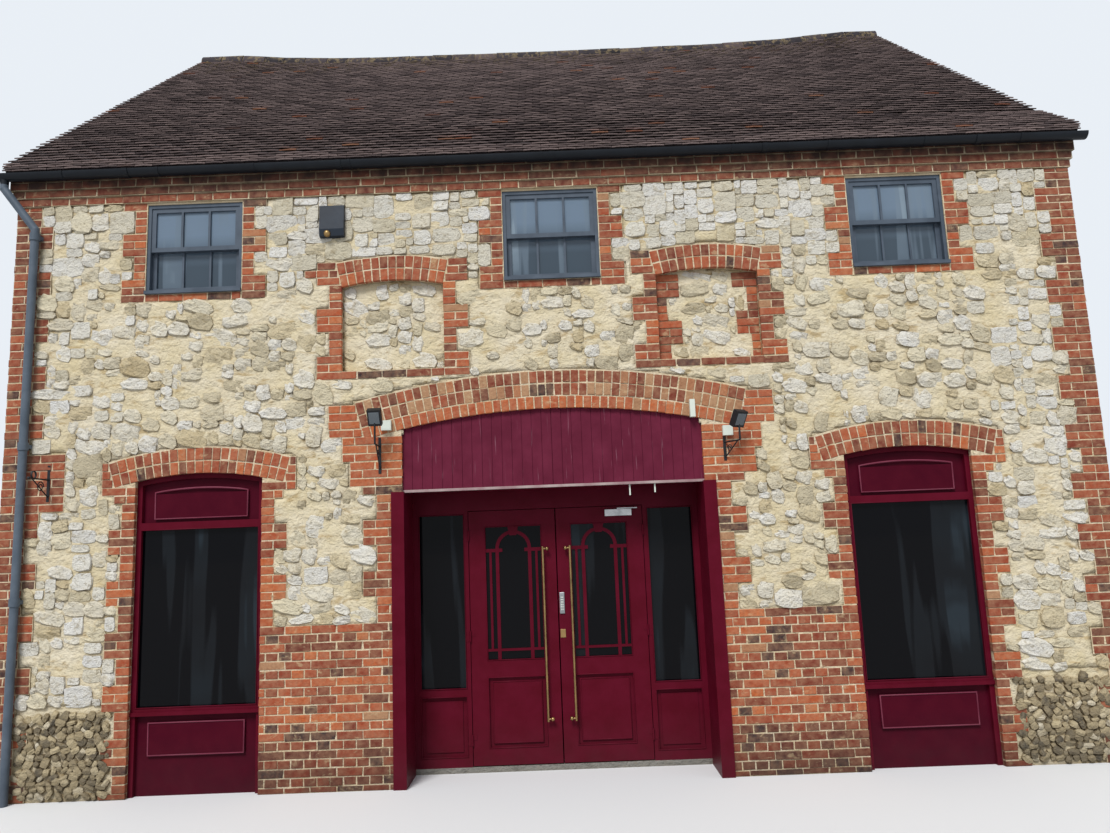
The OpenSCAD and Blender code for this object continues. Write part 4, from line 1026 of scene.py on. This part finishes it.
def roof_height(x, d):
    i, s = between(STATIONS, x)
    j, t = between(KNOTS, d)
    low, high = ([knot_height(STATIONS[i + a], KNOTS[j + b]) for a in (0, 1)] for b in (0, 1))
    return (low[0] * (1 - s) + low[1] * s) * (1 - t) + (high[0] * (1 - s) + high[1] * s) * t


def gable_top(face):
    end = HALF_W if face == "right" else -HALF_W
    return lambda u: roof_height(end, HALF_D - abs(u)) - ROOF_T - .03


def build_wall(face):
    wall, near = Wall(face), face == "front"
    if face in ("front", "back"):
        half, mortar_top, top, limit = HALF_W - .02, WALL_TOP, lambda u: WALL_TOP, lambda u: WALL_TOP + .1
        dress(wall, HALF_W, QUOIN_LONG, QUOIN_SHORT)
        for u in SASH_X:
            sash_window(wall, u)
        for side in (-1, 1):
            shop_window(wall, side)
        cornice(wall)
    else:
        half, mortar_top, top, limit = HALF_D - .02, RIDGE - .3, gable_top(face), gable_top(face)
        dress(wall, HALF_D, QUOIN_SHORT, QUOIN_LONG)
        sash_window(wall, 0)
    if near:
        doorway(wall)
        for u in BLIND_X:
            blind_window(wall, u)
        for side in (-1, 1):
            u0, u1 = sorted((side * (SHOP_X + SHOP_HALF + JAMB_SHORT), side * (HALF_W - QUOIN_SHORT)))
            wall.block(u0, u1, -1, FLINT_TOP)
    wall.rubble(half, top, 0, clean, 1 if near else 1.25)
    lay("bricks_of_" + face, bricks, wall.bricks, BRICK)
    lay("rough_stones_of_" + face, rough_stones if near else plain_stones, wall.rough, STONE)
    lay("white_stones_of_" + face, white_stones if near else plain_whites, wall.white, WHITE_STONE)
    wall.mortar("mortar_of_" + face, half, 0, mortar_top, limit, .042 if near else .09, .015)


def fill_blind_windows():
    """The walled-up insides of the two blind windows, the right one with toothed bricks at its sides."""
    infill, half = Wall("front", BLIND_D), 2.2
    edges = [-9] + [u + side * BLIND_HALF for u in BLIND_X for side in (-1, 1)] + [9]
    for u0, u1 in zip(edges[::2], edges[1::2]):
        infill.block(u0, u1, 0, 9)
    for side, runs in ((-1, (.125, .125, .235, .235, .235, .105, .105, .105, .225, .225, .225)),
                       (1, (.085, .085, .085, .215, .215, .215, .105, .105, .105, .238, .238))):
        for k, run in enumerate(runs):
            infill.side_course(BLIND_X[1] + side * BLIND_HALF, -side, 0, run, BLIND_FOOT + (k + 1) * COURSE,
                               HEADER if k % 2 else STRETCHER, proud=.008)
    infill.rubble(half, lambda u: BLIND_SPRING + .03, BLIND_FOOT + COURSE, lambda u, z: .1)
    lay("bricks_in_blind_window", bricks, infill.bricks, BRICK)
    lay("stones_of_blind_windows", rough_stones, infill.rough + infill.white, STONE)
    infill.mortar("mortar_of_blind_windows", half, BLIND_FOOT, BLIND_ARCH.top, lambda u: 9, .04, .02)


def flint_spots():
    """Cobbles of the two flint panels, in rows."""
    spots = []
    for side in (-1, 1):
        z, k = .05, 0
        while z < FLINT_TOP - .03:
            u = SHOP_X + SHOP_HALF + JAMB_SHORT + .03 + .02 * (k % 2)
            while u < HALF_W - QUOIN_SHORT - .03:
                w, h = chance.uniform(.028, .085), chance.uniform(.03, .064)
                place, turn = on_face("front", side * (u + w / 2), .016 + chance.uniform(-.008, .006),
                                      max(about(z, .02), .62 * h + .3 * w), about(0, 1.2))
                size, pick = (w * 1.15, .055, h * 1.1), chance.randrange(len(cobbles))
                spots.append((place, turn, size, pick, chance.betavariate(1.3, 1.3)))
                u += w + chance.uniform(.008, .02)
            z, k = z + .054, k + 1
    return spots


# Roof and gutters
def tile_spot(side, j, x, width):
    """The tile at x in course j. Courses below nought are the doubled ones at the eaves."""
    d = -EAVES_OUT + .002 + max(j, 0) * GAUGE * math.cos(ROOF_ANGLE) - .003 * (j < 0)
    if j > 0:
        d += about(.013 * noise.noise((x * .8, j * .37, side)), .002)
    middle = d + .062 * math.cos(ROOF_ANGLE)
    slope = math.atan((roof_height(x, d + .1) - roof_height(x, d)) / .1)
    ends = min(x + .1, VERGE - .01), max(x - .1, .01 - VERGE)
    roll = math.atan((roof_height(ends[0], middle) - roof_height(ends[1], middle)) / .2)
    lift = .007 + .006 * noise.noise((x * 1.3, d * 1.7, side * 5)) + chance.uniform(0, .003)
    lift += .021 * min(j, 0)
    kind = noise.noise((x * .9, d * 1.4, 9 + side))
    shade = min(.9, max(0, .15 + chance.betavariate(2, 2) * .6 + .3 * kind))
    if chance.random() < .012 or (kind > .5 and chance.random() < .1):
        shade = chance.uniform(.93, 1)
    place = (x, side * (HALF_D - middle), roof_height(x, middle) + lift)
    turn = (about(slope - TILE_TILT, .015), about(side * roll, .012), about(0 if side < 0 else math.pi, .012))
    return place, turn, (width, TILE_LONG, TILE_T), 0, shade


def tile_spots(side):
    """Plain tiles in wavy courses up one slope, each lapping the one below."""
    spots, width = [], 2 * VERGE / TILES
    for j in range(-3, int((RUN - .05) / (GAUGE * math.cos(ROOF_ANGLE)))):
        x = -VERGE + (width / 2 if j % 2 == 0 else 0)
        while x < VERGE + .01:
            over = VERGE + chance.uniform(0, .014)
            left, right = max(x - width / 2 + .002, -over), min(x + width / 2 - .002, over)
            if right - left > .05:
                spots.append(tile_spot(side, j, (left + right) / 2, right - left))
            x += width
    return spots


def deck(name, side, node):
    """The boarded slope under the tiles, with its dip at the right end."""
    deselect()
    bpy.ops.mesh.primitive_grid_add(x_subdivisions=len(STATIONS) - 1, y_subdivisions=len(KNOTS) - 1, size=2)
    piece = bpy.context.object
    for point in piece.data.vertices:
        i, j = (round((c + 1) / 2 * (len(knots) - 1)) for c, knots in zip(point.co, (STATIONS, KNOTS)))
        x, d = STATIONS[i], KNOTS[j] if side < 0 else KNOTS[-1 - j]
        point.co = (x, side * (HALF_D - d), knot_height(x, d))
    apply_step(piece, "SOLIDIFY", thickness=ROOF_T * math.cos(ROOF_ANGLE), offset=-1)
    keep(piece, name, UNDER_TILE)
    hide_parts(node)


def ridge_spots():
    """Half-round caps of unequal length along the sagging ridge."""
    spots, x, whole = [], 0, 2 * VERGE
    while x < whole - .05:
        length = min(chance.uniform(.29, .34), whole - x)
        if whole - x - length < .12:
            length = whole - x
        mid = x + length / 2 - VERGE
        seat, right, left = (roof_height(place, HALF_D - RIDGE_HALF)
                             for place in (mid, min(mid + .1, VERGE), max(mid - .1, -VERGE)))
        turn = (about(0, .03), about((left - right) / .2, .02), 0)
        size = (length - .012, RIDGE_HALF + .012, RIDGE_RISE + chance.uniform(.004, .014))
        spots.append(((mid, 0, seat), turn, size, 0, chance.betavariate(2, 2)))
        x += length
    return spots


# Joinery and fittings
def board_spots():
    """Upright boards that fill the head of the doorway under its arch, with a joint in the middle."""
    spots, count = [], 30
    wide = 2 * DOOR_HALF / count
    for k in range(count):
        ends = [-DOOR_HALF + (k + i) * wide for i in (0, 1)]
        crown = max(DOOR_ARCH.crown_at(u) for u in ends)
        place = (sum(ends) / 2, FRONT + BOARD_SET - chance.uniform(.002, .005), (SOFFIT + crown) / 2)
        size = (wide - (.006 if k in (14, 15) else .003), .012, crown - SOFFIT - .004)
        spots.append((place, (0, 0, 0), size, 0, chance.random()))
    return spots


def shop_beads():
    """Beads round the shop windows' glass, and round the panels over and under it."""
    glass, panels = [], []
    for s in (-1, 1):
        u = s * SHOP_X
        for f in (-1, 1):
            y, half, pane = f * (HALF_D - .07), SHOP_PANEL_HALF, SHOP_GLASS_HALF
            glass.append(frame_run(u - pane, u + pane, SHOP_GLASS_Z, f * (HALF_D - .05)))
            panels.append(frame_run(u - half, u + half, RISER_Z, y))
            crown = [(u + v, y, SHOP_ARCH.crown_at(v, HEAD_IN)) for v in (half - i * .06 for i in range(15))]
            panels.append([(u - half, y, HEAD_Z), (u + half, y, HEAD_Z)] + crown)
    rods("shop_glass_beads", glass, .007, MAROON)
    # The panel beads are paler: painted highlight.
    rods("shop_panel_beads", panels, .009, HIGHLIT_MAROON)


def door_beads():
    """Beads round the sidelights and their panels, and on both leaves."""
    u0, u1 = SIDELIGHT_U
    runs = [frame_run(s * u0, s * u1, heights, LEAF_Y) for s in (-1, 1) for heights in SIDELIGHT_Z]
    rods("sidelight_beads", runs, .007, MAROON)
    (u0, u1), (z0, z1), deep = LEAF_U, LEAF_PANEL_Z, FIELD_IN
    for s, side in ((-1, "left"), (1, "right")):
        runs = [frame_run(s * u0, s * u1, LEAF_PANEL_Z, LEAF_Y),
                frame_run(s * (u0 + deep), s * (u1 - deep), (z0 + deep, z1 - deep), LEAF_Y + .011),
                frame_run(s * u0, s * u1, LEAF_GLASS_Z, LEAF_Y)]
        rods("door_beads_" + side, runs, .007, MAROON, side + "_door")


def door_fittings():
    """The bare keypad, the lock plate, and the two tags that hang from the beam."""
    pad_y, plate_y, back_y, tag_y = (FRONT + y for y in (.418, .424, .431, .05))
    plate("keypad", (.014, pad_y, 1.382), (.06, back_y, 1.576), .003, SILVER, "right_door")
    plate("lock_plate", (.012, plate_y, 1.165), (.061, back_y, 1.24), .002, BRASS,
          "right_door")
    spots = [((.03 + .014 * i, pad_y, 1.42 + .022 * j), (math.pi / 2, 0, 0), (.009, .006, .003), 0, .5)
             for i in (0, 1) for j in range(6)]
    lay("keypad_buttons", [button], spots, WHITE_BOX, "right_door")
    for side, u, foot in (("left", .683, 2.435), ("right", .91, 2.453)):
        plate("white_tag_" + side, (u, tag_y, foot), (u + .013, tag_y + .003, 2.536), .001,
              WHITE_BOX)


def scroll_run(x, turn, y, z, start, turns):
    """A flat spiral in the upright plane of a bracket that is turned about its wall bar."""
    run, steps = [], 14
    for i in range(int(turns * steps) + 1):
        a, r = math.tau * i / steps, start * (1 - .75 * i / (turns * steps))
        out = y + r * math.cos(a)
        run.append((x - out * math.sin(turn), FRONT + out * math.cos(turn), z + r * math.sin(a)))
    return run


def flood_lamp(name, x, z, turn):
    """The pane in front of a lamp and the fins behind it, leaning down and turned with its bracket."""
    cos, sin = math.cos(turn), math.sin(turn)
    flat, down = math.cos(LAMP_LEAN), math.sin(LAMP_LEAN)
    aim = Vector((flat * sin, -flat * cos, -down))
    lamp = Vector((x + LAMP_OUT * sin, FRONT - LAMP_OUT * cos, z))
    tilt = (LAMP_LEAN, 0, turn)

    def sheet(label, at, half, edge, finish):
        plate(label, at - Vector(half), at + Vector(half), edge, finish, turn=tilt)

    sheet("flood_lamp_glass_" + name, lamp + aim * .031, (.046, .003, .054), .002, LAMP_PANE)
    for k in range(5):
        at = lamp - aim * .036 + Vector((cos, sin, 0)) * (.02 * (k - 2))
        sheet("flood_lamp_fin_%s_%d" % (name, k + 1), at, (.002, .01, .055), .001, IRON)


def ironwork():
    """The scrolls of the brackets and the two lamps, the right one turned about its wall bar."""
    turned = LAMP_LEAN
    scrolls = [scroll_run(-LAMP_X, 0, -.07, 2.88, .045, 1.6),
               scroll_run(LAMP_X, turned, -.07, 2.815, .035, 1.6)]
    rods("lamp_bracket_scrolls", scrolls, .0045, IRON, closed=False)
    scrolls = [scroll_run(-HALF_W + .425, 0, -.12, 2.7, .05, 1.7)]
    rods("sign_bracket_scroll", scrolls, .005, IRON, closed=False)
    flood_lamp("left", -LAMP_X, 3.1975, 0)
    flood_lamp("right", LAMP_X, 3.065, turned)


def alarm_lamp():
    """The half dome under the alarm box."""
    middle = (-2.03, FRONT - .05, 4.98)
    deselect()
    bpy.ops.mesh.primitive_uv_sphere_add(segments=16, ring_count=8, radius=.034, location=middle)
    bake_turn()
    dome = bpy.context.object
    edit_all()
    bpy.ops.mesh.bisect(plane_co=middle, plane_no=(0, 1, .6), clear_outer=True, use_fill=True)
    edit_done()
    bpy.ops.object.shade_smooth()
    keep(dome, "alarm_lamp", BRASS)


studio()
paint_nodes()

bricks = [brick_pattern(seed) for seed in range(1, 4)]
rough_stones = [stone_pattern(seed, .12, 2, .5) for seed in range(1, 7)]
white_stones = [stone_pattern(seed, .06, 2, .3, .33) for seed in range(21, 25)]
plain_stones = [stone_pattern(seed, .13, 1, .6) for seed in range(31, 36)]
plain_whites = [stone_pattern(seed, .07, 1, .35, .33) for seed in range(41, 44)]
cobbles = [stone_pattern(seed, .06, 1, .6) for seed in range(11, 15)]
tile, board = tile_pattern(), board_pattern()
cap, band, button = (half_round_pattern(name, up) for name, up in (
    ("ridge tile pattern", 1), ("gutter band pattern", -1), ("button pattern", 1)))

for face in FACES:
    build_wall(face)
fill_blind_windows()
lay("flint_cobbles", cobbles, flint_spots(), FLINT)

deck("front_roof_deck", -1, "roof_front_slope")
deck("back_roof_deck", 1, "roof_back_slope")
lay("front_roof_tiles", [tile], tile_spots(-1), TILE)
lay("back_roof_tiles", [tile], tile_spots(1), TILE)
lay("ridge_caps", [cap], ridge_spots(), TILE)
lay("gutter_unions", [band],
    [((x, side * GUTTER_Y, GUTTER_Z), (0, 0, 0), (.05, GUTTER_R + .007, GUTTER_R + .007), 0, .5)
     for side in (-1, 1) for x in (-3.9, -1.9, .1, 2.1, 4.1)], GUTTER_BLACK)

lay("head_boards", [board], board_spots(), FADED)
plate("head_bare_edge", (-DOOR_HALF, FRONT + .024, SOFFIT - .008), (DOOR_HALF, FRONT + .05, SOFFIT + .016),
      .003, BARE_EDGE)
shop_beads()
door_beads()
door_fittings()
ironwork()
alarm_lamp()

for pattern in [*bricks, *rough_stones, *white_stones, *plain_stones, *plain_whites, *cobbles,
                tile, board, cap, band, button]:
    bpy.data.objects.remove(pattern)
